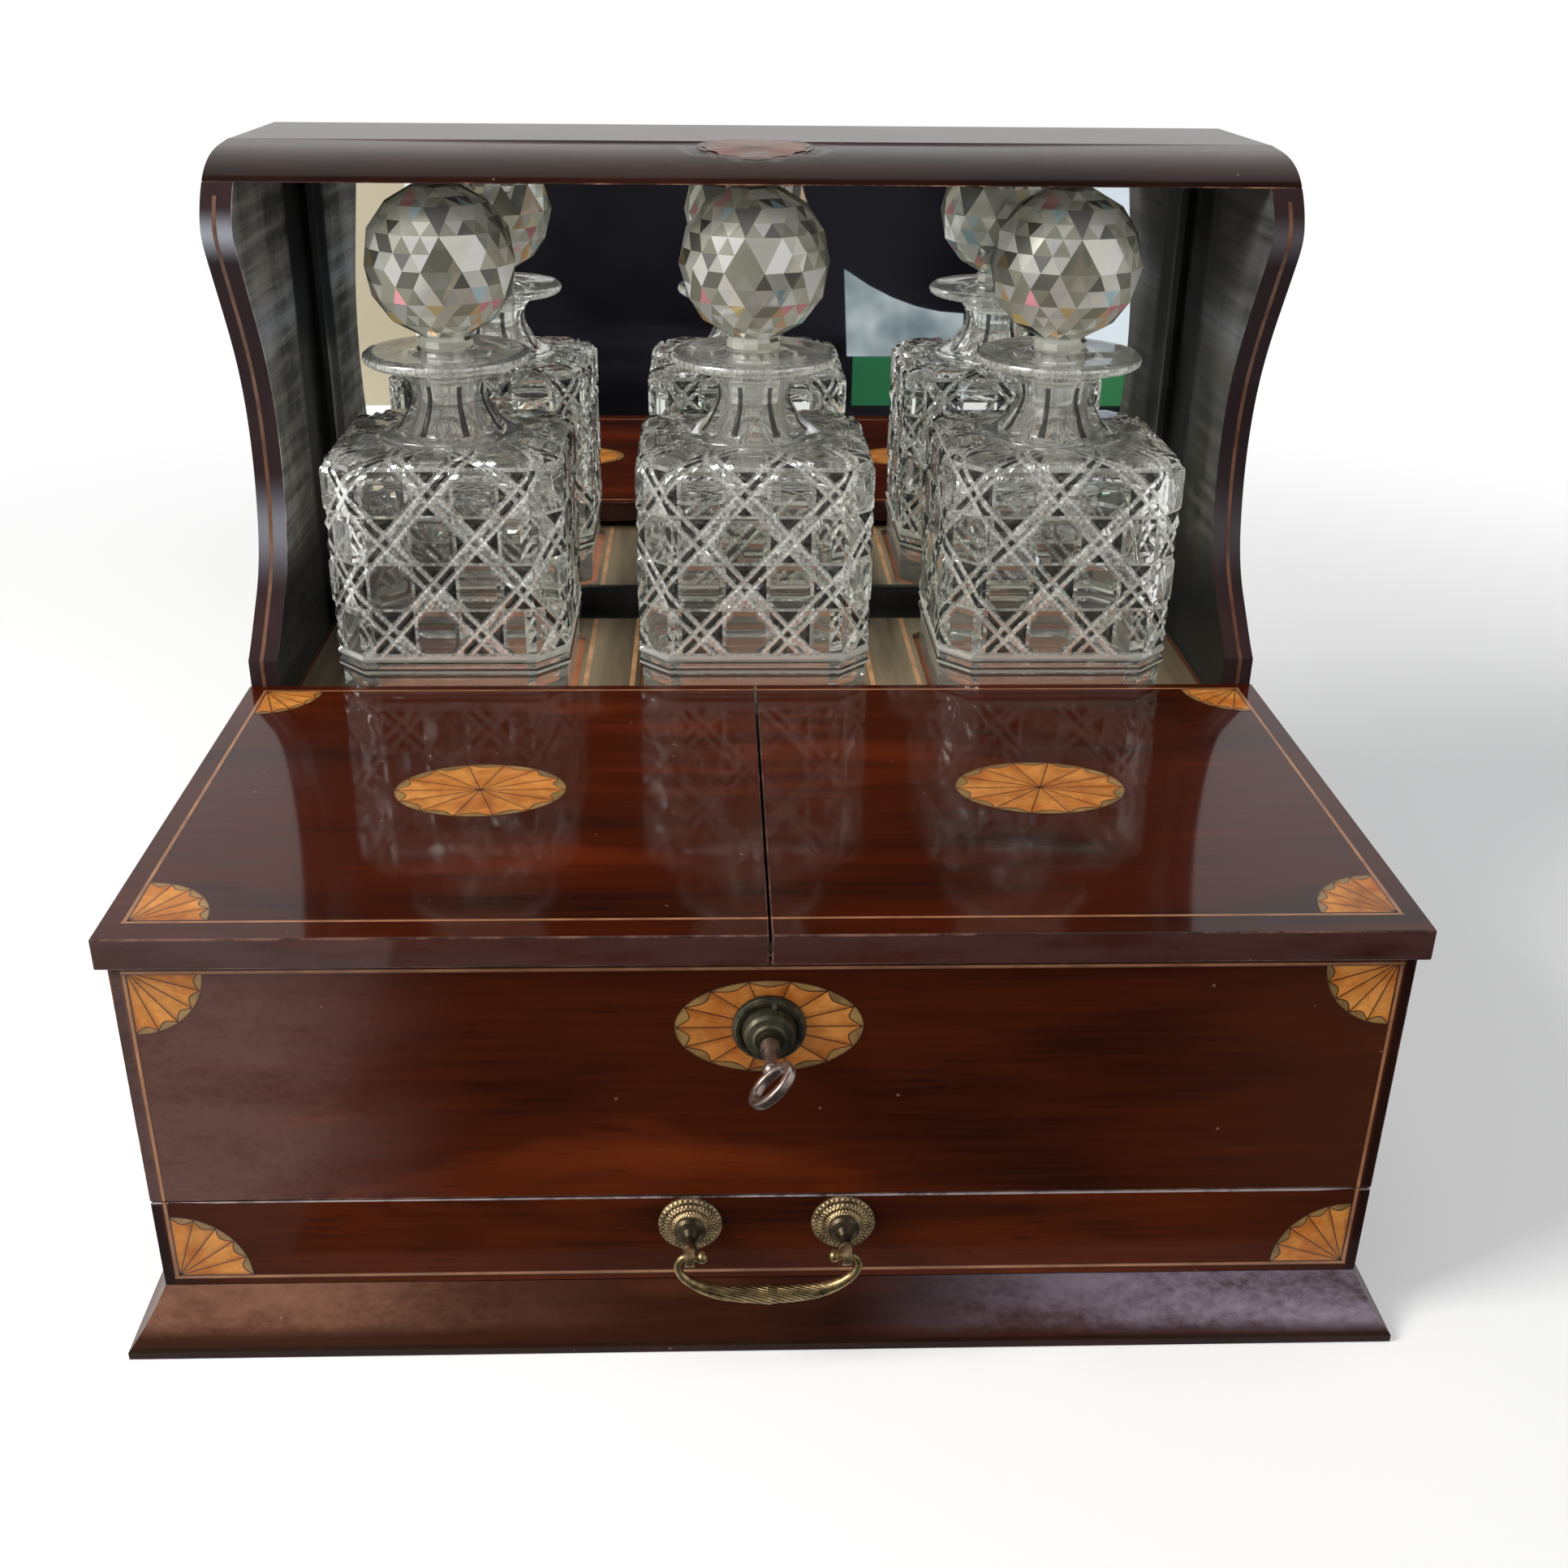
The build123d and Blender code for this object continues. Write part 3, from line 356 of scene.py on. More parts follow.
def satinwood(name, base, dark, pale):
    """Petal veneer: shade attribute darkens one side of each petal, as hot sand does."""
    t = Tree(name)
    shade = t.attribute("shade")
    fibre = t.drawn((300, 300, 900), 4.0, 0.6)
    mottled = t.noise(95.0, 5.0, 0.65)
    stains = t.noise(60.0, 4.0, 0.6, 0.0, t.scaled((1, 1, 1), (4, 2, 7)))
    colour = t.mix(t.step(mottled, 0.32, 0.68), base, pale)
    colour = t.tint(colour, dark, t.step(stains, 0.48, 0.72), 0.5)
    colour = t.tint(colour, dark, shade, 0.85)
    colour = t.tint(colour, dark, t.step(fibre, 0.45, 0.75), 0.25)
    return t.polished(colour, 0.42, 0.3, 0.12, 0.1)


def veneer(name, a, b, scale=90.0, coat=0.4):
    t = Tree(name)
    n = t.noise(scale, 5.0, 0.65)
    colour = t.mix(t.step(n, 0.3, 0.7), a, b)
    return t.polished(colour, 0.42, coat, 0.12, 0.3)


# Metals and glass
def metal(name, bright, dark, rough=0.32):
    """Aged metal: bright on rubbed places, dark in between."""
    t = Tree(name)
    n = t.noise(240.0, 6.0, 0.65)
    b = t.noise(52.8, 3.0, 0.5)
    fac = t.step(t.sum(n, 0.55, b, 0.45), 0.35, 0.62)
    colour = t.mix(fac, dark, bright)
    roughness = t.minus(rough + 0.14, t.times(fac, 0.16))
    normal = t.bump(n, 0.2, 0.0003)
    return t.metallic(colour, 0.9, roughness, Normal=normal)


def beaded_brass(name):
    """Rosettes: rings of small dark beads round each post."""
    t = Tree(name)
    across = t.minus(t.away(0), (POSTS_HI.x - 4.9) / 1000)
    up = t.minus(t.axis(2), (POSTS_LO.z + POSTS_HI.z) / 2000)
    reach = t.math("SQRT", t.plus(t.times(across, across), t.times(up, up)))
    angle = t.math("ARCTAN2", up, across)
    rings = t.math("SINE", t.times(reach, 2 * math.pi / 0.0018))
    beads = t.math("SINE", t.times(angle, 36.0))
    dots = t.times(t.times(rings, beads), 0.5)
    tarnish = t.noise(260.0, 5.0, 0.65)
    fac = t.step(t.plus(t.times(dots, 0.45), tarnish), 0.20, 0.85)
    colour = t.mix(fac, (70, 58, 40), (206, 180, 136))
    normal = t.bump(t.plus(dots, t.times(tarnish, 0.5)), 0.5, 0.0004)
    return t.metallic(colour, 0.85, 0.42, Normal=normal)


def post_brass(name):
    """Posts: dark tarnished collar in the rosette, rubbed brass at the eye."""
    t = Tree(name)
    tarnish = t.noise(300.0, 5.0, 0.65)
    collar = t.step(t.axis(1), (POSTS_LO.y + 5.2) / 1000, (POSTS_LO.y + 7.0) / 1000)
    rubbed_brass = t.mix(t.step(tarnish, 0.35, 0.65), (104, 84, 56), (200, 172, 134))
    colour = t.mix(t.times(collar, 0.9), rubbed_brass, (54, 48, 38))
    normal = t.bump(tarnish, 0.3, 0.0003)
    return t.metallic(colour, 0.85, 0.4, Normal=normal)


def reeded_brass(name):
    """Bail: fine twisted reeding over the swell, plain towards the ends."""
    t = Tree(name)
    tarnish = t.noise(260.0, 5.0, 0.65)
    slant = t.plus(t.times(t.axis(0), 0.35), t.plus(t.axis(2), t.axis(1)))
    reeds = t.math("SINE", t.times(slant, 2 * math.pi / 0.0011))
    swell = t.minus(1.0, t.step(t.away(0), 0.010, 0.020))
    ribs = t.times(reeds, swell)
    fac = t.step(t.plus(t.times(ribs, 0.18), tarnish), 0.28, 0.72)
    colour = t.mix(fac, (74, 62, 36), (196, 170, 122))
    normal = t.bump(t.plus(ribs, t.times(tarnish, 0.5)), 0.45, 0.0003)
    return t.metallic(colour, 0.88, 0.36, Normal=normal)


def crystal(name, haze, facets=False, rough=0.0):
    """Lead crystal with painted light. Attribute bright mixes in a frosted white as a painted glint, for how
    much a facet throws light about, attribute dark mixes in near black as painted shade, for how much it
    swallows; a little frosted white everywhere is painted light that brightens the glass."""
    t = Tree(name)
    clear_colour = (0.985, 0.99, 0.975, 1.0)
    frost_and_glint_colour = (0.90, 0.91, 0.86, 1.0)
    if facets:
        tone = t.attribute("facet")
        # painted reflections: whites with khaki and pastel flashes in the facets stand for light thrown about
        # inside the ball
        stops = [(0.0, (206, 206, 190)), (0.22, (240, 240, 230)), (0.44, (254, 254, 252)),
                 (0.62, (158, 158, 140)), (0.74, (246, 244, 232)), (0.85, (250, 204, 156)),
                 (0.89, (255, 226, 160)), (0.92, (196, 232, 244)), (0.97, (248, 172, 184))]
        frost_and_glint_colour = t.ramp(tone, stops, "CONSTANT")
        clear_colour = t.mix(0.3, clear_colour, frost_and_glint_colour)
    orange_peel = t.noise(300.0, 2.0, 0.5)
    normal = t.bump(orange_peel, 0.03, 0.0002)
    glass = t.principled(Base_Color=clear_colour, Roughness=rough, IOR=1.5, Transmission_Weight=1.0,
                         Normal=normal)
    lit = t.node("BsdfDiffuse", {"Color": frost_and_glint_colour})
    through = t.node("BsdfTranslucent", {"Color": frost_and_glint_colour})
    frost_and_glint = t.mix_shader(0.45, lit, through)
    glint = t.node("BsdfAnisotropic", {"Color": frost_and_glint_colour, "Roughness": 0.12})
    frost_and_glint = t.mix_shader(0.3, frost_and_glint, glint)
    bright = t.attribute("bright")
    dark = t.attribute("dark")
    if facets:
        # painted shade: the ball is darkened towards its rim
        rim = t.node("LayerWeight", {"Blend": 0.5}, out=1)
        dark = t.math("MAXIMUM", dark, t.times(t.step(rim, 0.64, 0.95), 0.66))
    body = t.mix_shader(t.math("ADD", haze, bright, clamp=True), glass, frost_and_glint)
    shade = t.node("BsdfDiffuse", {"Color": (0.02, 0.02, 0.018, 1.0)})
    body = t.mix_shader(dark, body, shade)
    clear = t.node("BsdfTransparent", {"Color": (0.94, 0.95, 0.93, 1.0)})
    path = t.node("LightPath", out=None)
    shadow = t.times(path.outputs["Is Shadow Ray"], 0.9)
    return t.finish(t.mix_shader(shadow, body, clear))


def silvered(name):
    t = Tree(name)
    haze = t.noise(14.0, 5.0, 0.6)
    spots = t.noise(120.0, 4.0, 0.7)
    worn = t.step(spots, 0.70, 0.78)
    colour = t.mix(worn, (0.92, 0.94, 0.93, 1), (0.40, 0.41, 0.40, 1))
    roughness = t.plus(0.012, t.times(t.step(haze, 0.5, 0.8), 0.03))
    return t.metallic(colour, 1.0, roughness)


# Which look each node has
EDGE = worn_edge("worn_edge", (150, 104, 78), (46, 20, 12), 0.46, 0.66)
LID_EDGE = worn_edge("lid_edge", (116, 82, 70), (46, 26, 20), 0.46, 0.64)
# drawer arris: pale lilac in broken patches, partly worn wood and partly a painted highlight
DRAWER_WEAR_AND_HIGHLIGHT = worn_edge("drawer_edge_and_highlight", (158, 146, 148), (60, 42, 36), 0.38, 0.56)
EBONY = ebonised("ebony", (16, 15, 15), (74, 72, 66), 0.25)
PLATFORM = plain_wood("platform_wood", 1, (66, 54, 42), (136, 120, 98), 2.0, 0.45, 0.3)
# painted light: the bay floor's colours are paler than the wood, standing for light that falls into the bay
BAY_FLOOR = plain_wood("bay_floor_wood", 0, (126, 72, 46), (166, 104, 70), 3.0, 0.5, 0.2)
SECONDARY = plain_wood("secondary_wood", 0, (86, 58, 36), (142, 104, 68), 4.0, 0.7)
INNER_CASE = plain_wood("inner_case", 0, (58, 30, 18), (96, 56, 34), 6.0, 0.55, 0.1)


# Changes of colour that mahogany() takes
def darker_ends(colour_there, amount, x0, x1):
    """Mixes colour_there into a board towards both ends."""
    def apply(t, colour):
        x = t.away(0)
        fac = t.times(t.step(x, x0, x1), amount)
        return t.mix(fac, colour, colour_there)
    return apply


def bloom_and_painted_sheen(grey, amount, x0, x1, floor=0.2, even=0.0, low=None):
    """Whitish bloom in old polish together with a painted sheen that stands for reflected light, thicker
    towards one end and gone below the height low.
    """
    def apply(t, colour):
        broad = t.drawn((13, 26, 40), 4.0, 0.6)
        fine = t.drawn((260, 420, 420), 3.0, 0.7)
        cloud = t.sum(broad, 0.72, fine, 0.28)
        side = t.plus(floor, t.times(t.step(t.axis(0), x0, x1), 1.0 - floor))
        fac = t.times(t.times(t.step(cloud, 0.34 - even, 0.68), side), amount)
        if low:
            fac = t.times(fac, t.step(t.axis(2), low, low + 0.005))
        return t.mix(fac, colour, grey)
    return apply


def patches_below(tone, amount, height):
    """Patches of another colour on the faces under a given height."""
    def apply(t, colour):
        patches = t.drawn((24, 60, 90), 5.0, 0.65)
        under = t.below(t.axis(2), height)
        fac = t.times(t.times(t.step(patches, 0.20, 0.62), under), amount)
        return t.mix(fac, colour, tone)
    return apply


OUTSIDE_STRING = (PANEL_HI.x - 3.2) / 1000
BEYOND_STRING = darker_ends((22, 12, 11), 0.8, OUTSIDE_STRING, OUTSIDE_STRING + 0.0006)
# front: greyer towards both ends, darker beyond the strings, and a painted sheen standing for reflected light
# towards the left end
FRONT = mahogany("front_mahogany", 0, 1.0, (42, 14, 5), (62, 20, 4), (102, 40, 10), 0.14, 0.12, 0.3,
                 (darker_ends((72, 46, 32), 0.3, 0.10, 0.19), BEYOND_STRING,
                  bloom_and_painted_sheen((138, 108, 104), 0.38, -0.085, -0.165, 0.0, 0.14)))
DRAWER = mahogany("drawer_mahogany", 0, 4.0, (42, 14, 4), (76, 27, 5), (112, 46, 12), 0.13, 0.12, 0.5,
                  (darker_ends((34, 16, 10), 0.5, 0.12, 0.19), BEYOND_STRING))
LID = mahogany("lid_mahogany", 0, 7.0, (31, 7, 1), (58, 15, 1), (90, 30, 4), 0.62, 0.07, 0.6,
               (patches_below((74, 52, 49), 0.78, (LID_TOP - 0.6) / 1000),))
# plinth: a painted sheen standing for reflected light, bluish towards the right end and warm towards the
# left, and darker patches along the bottom
PLINTH = mahogany("plinth_mahogany", 0, 9.0, (32, 15, 9), (50, 24, 13), (82, 42, 25), 0.3, 0.2, 0.5,
                  (bloom_and_painted_sheen((164, 152, 170), 0.72, 0.02, 0.16, 0.0, 0.05, 0.003),
                   bloom_and_painted_sheen((164, 116, 94), 0.62, -0.03, -0.17, 0.0, 0.15, 0.005),
                   patches_below((30, 17, 13), 0.8, 0.0035)))
PLINTH_SIDE = mahogany("plinth_side_mahogany", 1, 9.5, (38, 20, 14), (64, 34, 22), (96, 54, 36), 0.4, 0.2)
SIDE = mahogany("side_mahogany", 1, 12.0, (44, 20, 12), (80, 36, 19), (116, 56, 30), 0.4)
HOOD = mahogany("hood_mahogany", 0, 15.0, (22, 10, 7), (38, 17, 11), (60, 30, 20), 0.5, 0.14)
HOOD_SIDE = hood_side_wood("hood_side_wood")
BACK = mahogany("back_mahogany", 0, 18.0, (40, 20, 12), (74, 40, 24), (104, 62, 40), 0.1)
SATIN = satinwood("satinwood", (192, 110, 38), (112, 56, 20), (222, 150, 72))
OLIVE = veneer("stained_border_veneer", (112, 84, 42), (156, 120, 64))
LINE = veneer("burnt_line", (58, 30, 16), (84, 46, 24))
STRING = veneer("boxwood_string", (126, 80, 50), (172, 118, 78), 60.0, 0.25)
HOOD_STRING = veneer("hood_string", (82, 50, 36), (120, 80, 56))
BAY_STRING = veneer("bay_string", (150, 108, 72), (196, 150, 108))
BRASS = metal("aged_brass", (190, 162, 118), (96, 76, 48))
BRONZE = metal("dark_bronze", (98, 94, 76), (44, 42, 34), 0.46)
STEEL = metal("worn_steel", (178, 160, 152), (92, 78, 72), 0.28)
GLASS = crystal("cut_crystal", 0.03)
FACET = crystal("facet_crystal", 0.04, facets=True)
GROUND = crystal("ground_glass", 0.05, rough=0.2)
SILVER = silvered("mirror_silver")


def both(stem):
    return [stem + "left", stem + "right"]


LOOKS = [
    (FRONT, EDGE, ["front_panel"]),
    (DRAWER, DRAWER_WEAR_AND_HIGHLIGHT, ["drawer_front"]),
    (LID, LID_EDGE, both("lid_")),
    (PLINTH, EDGE, ["plinth_front"]),
    (PLINTH_SIDE, EDGE, both("plinth_")),
    (SIDE, EDGE, both("side_")),
    (HOOD, EDGE, ["hood_top"]),
    (HOOD_SIDE, EDGE, both("hood_side_")),
    (BACK, EDGE, ["mirror_back", "case_back"]),
    (PLATFORM, None, ["bay_frame"]),
    (BAY_FLOOR, None, ["bay_floor"]),
    (EBONY, None, ["bay_rear_rail", "mirror_beads"]),
    (SILVER, None, ["mirror_glass"]),
    (BAY_STRING, None, ["bay_strings"]),
    (HOOD_STRING, None, ["hood_side_strings"]),
    (INNER_CASE, None, ["compartment_back", "centre_partition"]),
    (SECONDARY, None, ["dust_board", "base_board", "plinth_back", *both("drawer_side_"), "drawer_back",
                       "drawer_bottom", "drawer_stops"]),
    (BRASS, None, ["lock_case", *both("hinge_fixed_"), *both("hinge_lid_"), *both("lid_staple_"),
                   "handle_nuts"]),
    (STEEL, None, ["lock_screws", "lock_bolt", "key", "hinge_pins"]),
    (BRONZE, None, ["lock_boss", "lock_barrel"]),
    (beaded_brass("beaded_brass"), None, ["handle_rosettes"]),
    (post_brass("post_brass"), None, ["handle_posts"]),
    (reeded_brass("reeded_brass"), None, ["handle_bail"]),
]
WORN_WIDTHS = {"lid_left": 0.5, "lid_right": 0.5, "front_panel": 0.45, "drawer_front": 0.7, "side_left": 0.45,
               "side_right": 0.45, "hood_top": 0.45}


def soften(name, width):
    """Rounded, worn arrises on a CAD board, only along its outer edges; width in millimetres."""
    near, joined = 2e-5, 1e-5  # metres
    o = nodes[name]
    me = o.data
    lo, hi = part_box(name)
    attr = me.attributes.new("bevel_weight_edge", "FLOAT", "EDGE")
    for e in me.edges:
        a, b = (me.vertices[i].co for i in e.vertices)
        shared = sum(1 for i in range(3) for plane in (lo[i], hi[i])
                     if abs(a[i] - plane) < near and abs(b[i] - plane) < near)
        attr.data[e.index].value = 1.0 if shared >= 2 else 0.0
    o.modifiers.new("joined_faces", "WELD").merge_threshold = joined
    mod = o.modifiers.new("arris", "BEVEL")
    mod.limit_method = "WEIGHT"
    mod.width = width / 1000
    mod.segments = 2
    mod.material = 1


for look, edge, names in LOOKS:
    for name in names:
        mats = nodes[name].data.materials
        mats.clear()
        mats.append(look)
        if edge:
            mats.append(edge)
for name, width in WORN_WIDTHS.items():
    soften(name, width)


# Mesh helpers
def add_object(name, data):
    o = bpy.data.objects.new(name, data)
    scene.collection.objects.link(o)
    return o


def make_object(name, verts, faces, mats, mat_index, shade):
    me = bpy.data.meshes.new(name)
    me.from_pydata([tuple(v) for v in verts], [], faces)
    for m in mats:
        me.materials.append(m)
    me.polygons.foreach_set("material_index", mat_index)
    me.attributes.new("shade", "FLOAT", "CORNER").data.foreach_set("value", shade)
    me.update()
    return add_object(name, me)


class Sheet:
    """Collects flat inlay shapes on one face and turns them into one object."""

    def __init__(self, origin, ux, uy, normal):
        self.o, self.ux, self.uy, self.n = Vector(origin), Vector(ux), Vector(uy), Vector(normal)
        self.verts, self.faces, self.mat, self.shade = [], [], [], []

    def point(self, x, y, lift):
        return self.o + (self.ux * x + self.uy * y + self.n * lift) / 1000

    def add(self, points, mat, lift, shades=None, drop=0.0):
        """A flat polygon; drop gives it sides that reach down into its pocket."""
        area = sum(a[0] * b[1] - b[0] * a[1] for a, b in zip(points, points[1:] + points[:1]))
        flip = self.ux.cross(self.uy).dot(self.n) < 0
        if (area < 0) != flip:
            points = points[::-1]
            shades = shades[::-1] if shades else None
        base = len(self.verts)
        n = len(points)
        self.verts += [self.point(x, y, lift) for x, y in points]
        self.faces.append(tuple(range(base, base + n)))
        self.mat.append(mat)
        self.shade += shades or [0.0] * n
        if drop:
            self.verts += [self.point(x, y, lift - drop) for x, y in points]
            for i in range(n):
                j = (i + 1) % n
                self.faces.append((base + i, base + n + i, base + n + j, base + j))
                self.mat.append(mat)
                self.shade += [0.0] * 4

    def strip(self, a, b, width, mat, lift, drop=0.0):
        a, b = Vector(a), Vector(b)
        d = (b - a).normalized()
        s = Vector((-d.y, d.x)) * width / 2
        self.add([tuple(a + s), tuple(b + s), tuple(b - s), tuple(a - s)], mat, lift, drop=drop)

    def build(self, name, mats):
        return make_object(name, self.verts, self.faces, mats, self.mat, self.shade)


# the materials of an inlay sheet in their order: satinwood, stained border, burnt line, string
INLAY_MATS = [SATIN, OLIVE, LINE, STRING]


def petals(sheet, cx, cy, ra, rb, a0, a1, count, sag, dull=0.0):
    """Radiating petals with scooped ends between an apex and an outer oval edge."""
    full = abs(a1 - a0) > 6.2
    apex = Vector((cx, cy))
    def rim(a, k=1.0):
        return (cx + ra * k * math.cos(a), cy + rb * k * math.sin(a))
    border = [rim(a0 + (a1 - a0) * i / 48) for i in range(49)]
    outline = border[:-1] if full else [(cx, cy)] + border
    sheet.add(outline, 1, BORDER_LIFT, drop=POCKET)
    for i in range(count):
        b0 = a0 + (a1 - a0) * i / count
        b1 = a0 + (a1 - a0) * (i + 1) / count
        start = rim(b0, FAN_END)
        arc, steps = [], 10
        for k in range(steps + 1):
            f = k / steps
            depth = 1.0 - sag * math.sin(math.pi * f)
            end = Vector(rim(b0 + (b1 - b0) * f, FAN_END))
            arc.append(tuple(apex + (end - apex) * depth))
        tone = dull + 0.25 * rng.random()
        points = [(cx, cy)] + arc
        edge = [tone + 0.55 * max(0.0, 1 - 3.2 * k / steps) for k in range(steps + 1)]
        sheet.add(points, 0, PETAL_LIFT, [tone + 0.35] + edge)
        for u, v in zip(arc, arc[1:]):
            sheet.strip(u, v, 0.32, 2, LINE_LIFT)
        sheet.strip((cx, cy), start, FAN_LINE, 2, LINE_LIFT)
    if not full:
        sheet.strip((cx, cy), rim(a1, FAN_END), FAN_LINE, 2, LINE_LIFT)
    for u, v in zip(border, border[1:]):
        sheet.strip(u, v, FAN_LINE, 2, LINE_LIFT)


BURNT = 0.22  # width of the dark line on each side of a string
POCKET = 0.6  # how far the sheets' sides reach down
FAN_END = 0.985  # where the petals end inside the fan's border
FAN_LINE = 0.34
BORDER_LIFT, PETAL_LIFT, LINE_LIFT, STRING_LIFT = 0.02, 0.06, 0.10, 0.04
RIM = 0.9  # from a string's middle to the fan beside it
ROUND = (0, 2 * math.pi)
OVAL = (28.0, 16.0)
LID_OVAL = (28.5, 19.75)
LID_OVAL_MIDDLE = (94.0, -47.55)
TOP_STRING_DROP = 2.7  # the front's top string shows just under the lids' edge


def front_sheet():
    return Sheet(mm(0, PANEL_LO.y, 0), (1, 0, 0), (0, 0, 1), (0, -1, 0))


def top_sheet(z):
    return Sheet(mm(0, 0, z), (1, 0, 0), (0, 1, 0), (0, 0, 1))


def string_line(sheet, a, b, lift=STRING_LIFT):
    """Boxwood string between two burnt lines, filling its groove."""
    a, b = Vector(a), Vector(b)
    d = (b - a).normalized()
    side = Vector((-d.y, d.x)) * (STRING_WIDTH - BURNT) / 2
    sheet.strip(a, b, STRING_WIDTH - 2 * BURNT, 3, lift, drop=POCKET)
    for shift in (side, -side):
        sheet.strip(a + shift, b + shift, BURNT, 2, lift, drop=POCKET)


def quarter(side, upper):
    """Start and end angle of a fan in a board's corner; side is -1 at the left."""
    if upper:
        return (math.pi, 1.5 * math.pi) if side > 0 else (1.5 * math.pi, 2 * math.pi)
    return (0.5 * math.pi, math.pi) if side > 0 else (0, 0.5 * math.pi)


def front_inlay():
    s = front_sheet()
    lo, hi = corners("front_inlay")
    line_x = hi.x - HALF_STRING
    top = hi.z - HALF_STRING
    boss = middle("lock_boss")
    for side in (-1, 1):
        string_line(s, (side * line_x, lo.z), (side * line_x, hi.z - STRING_WIDTH))
        petals(s, side * (line_x - RIM), top - 1.3, 21.5, 21.5, *quarter(side, True), 5, 0.10)
    # a dark burnt line fills the old groove above the string; it also stands for the lids' shadow there, a
    # painted shadow
    s.strip((lo.x, top), (hi.x, top), STRING_WIDTH, 2, STRING_LIFT, drop=POCKET)
    string_line(s, (lo.x, PANEL_HI.z - TOP_STRING_DROP), (hi.x, PANEL_HI.z - TOP_STRING_DROP), 0.14)
    petals(s, 0, boss.z, *OVAL, *ROUND, 14, 0.12, 0.22)
    o = s.build("front_marquetry", INLAY_MATS)
    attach(o, "case")
    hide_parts("front_inlay")


def drawer_inlay():
    s = front_sheet()
    lo, hi = corners("drawer_inlay")
    line_x = hi.x - HALF_STRING
    low = lo.z + HALF_STRING
    for side in (-1, 1):
        string_line(s, (side * line_x, low + HALF_STRING), (side * line_x, hi.z))
        petals(s, side * (line_x - RIM), low + RIM, 23, 23, *quarter(side, False), 5, 0.10)
    string_line(s, (lo.x, low), (hi.x, low))
    o = s.build("drawer_marquetry", INLAY_MATS)
    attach(o, "drawer")
    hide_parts("drawer_inlay")


def lid_inlay(side, word):
    lo, hi = corners("lid_inlay_right")
    s = top_sheet(hi.z)
    x = hi.x - HALF_STRING
    front = lo.y + HALF_STRING
    rear = hi.y - HALF_STRING
    string_line(s, (side * x, front + HALF_STRING), (side * x, rear - HALF_STRING))
    string_line(s, (side * lo.x, front), (side * hi.x, front))
    string_line(s, (side * lo.x, rear), (side * hi.x, rear))
    petals(s, side * LID_OVAL_MIDDLE[0], LID_OVAL_MIDDLE[1], *LID_OVAL, *ROUND, 14, 0.12)
    petals(s, side * (x - RIM), front + RIM, 22.5, 22.5, *quarter(side, False), 5, 0.10)
    petals(s, side * (x - RIM), rear - RIM, 21, 21, *quarter(side, True), 5, 0.10)
    o = s.build("lid_marquetry_" + word, INLAY_MATS)
    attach(o, word + "_lid")
    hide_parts("lid_inlay_" + word)


def hood_inlay():
    """Oval on the hood: petals that follow the curve of its nose, faded in old polish."""
    lo, hi = corners("hood_patera")
    centre = (lo + hi) / 2
    s = top_sheet(hi.z)
    petals(s, centre.x, centre.y, (hi.x - lo.x) / 2, (hi.y - lo.y) / 2, *ROUND, 14, 0.12)
    nose = [(62.45, 329.3), (66.45, 332.5), (73.85, 335.9), (85.75, 338.5), (104.45, 340.0)]
    def height(y):
        for (y0, z0), (y1, z1) in zip(nose, nose[1:]):
            if y <= y1:
                f = (y - y0) / (y1 - y0)
                return z0 + (z1 - z0) * f
        return hi.z
    for v in s.verts:
        v.z += (height(v.y * 1000) + 0.12 - hi.z) / 1000
    faded = [satinwood("faded_satinwood", (112, 66, 46), (70, 38, 28), (124, 76, 54)),
             veneer("faded_border", (66, 42, 30), (84, 56, 40)),
             veneer("faded_line", (50, 28, 20), (62, 36, 26)), STRING]
    o = s.build("hood_marquetry", faded)
    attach(o, "case")
    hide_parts("hood_patera")


front_inlay()
drawer_inlay()
lid_inlay(-1, "left")
lid_inlay(1, "right")
hood_inlay()


# Decanters and stoppers
HALF, CORNER, COLUMNS = 44.75, 11.5, 240  # half width, cut corner, points round the outline
ROW = 18.1 / 12  # height of one row of the cutting; 12 rows to a button
FIRST = 34.4 - 9.05  # where the cutting starts
ROWS, WALL_ROWS, FADE_START, FADE_ROWS = 61, 46, 52, 9
COLUMN_SHIFT, ROW_SHIFT = 3, 6  # place of the first button in the rows and columns
SHOULDER_RADIUS, SHOULDER_TURN, SHOULDER_SLOPE = 6.0, math.pi / 2 * 0.96, 0.06
ROUND_AFTER = 18.0  # way in from the square wall to the round neck
EIGHTH = math.pi / 8  # half a neck panel


def octagon(half, corner):
    """COLUMNS points round a square with cut corners, 48 to a side and 12 to a corner."""
    c = half - corner
    bends = [(c, -half), (half, -c), (half, c), (c, half), (-c, half), (-half, c), (-half, -c), (-c, -half)]
    points = [(c * k / 24, -half) for k in range(24)]
    for a, b, n in zip(bends, bends[1:], [12, 48, 12, 48, 12, 48, 12]):
        points += [(a[0] + (b[0] - a[0]) * k / n, a[1] + (b[1] - a[1]) * k / n) for k in range(n)]
    return points + [(-c + c * k / 24, -half) for k in range(24)]


def outward(points):
    """Unit normals of a closed outline."""
    normals = []
    for a, b in zip(points[-1:] + points[:-1], points[1:] + points[:1]):
        d = Vector((b[0] - a[0], b[1] - a[1])).normalized()
        normals.append((d.y, -d.x))
    return normals


def groove(distance, half_width):
    return max(0.0, 1.0 - abs(distance) / half_width)


def wrapped(value, period):
    return (value + period / 2) % period - period / 2


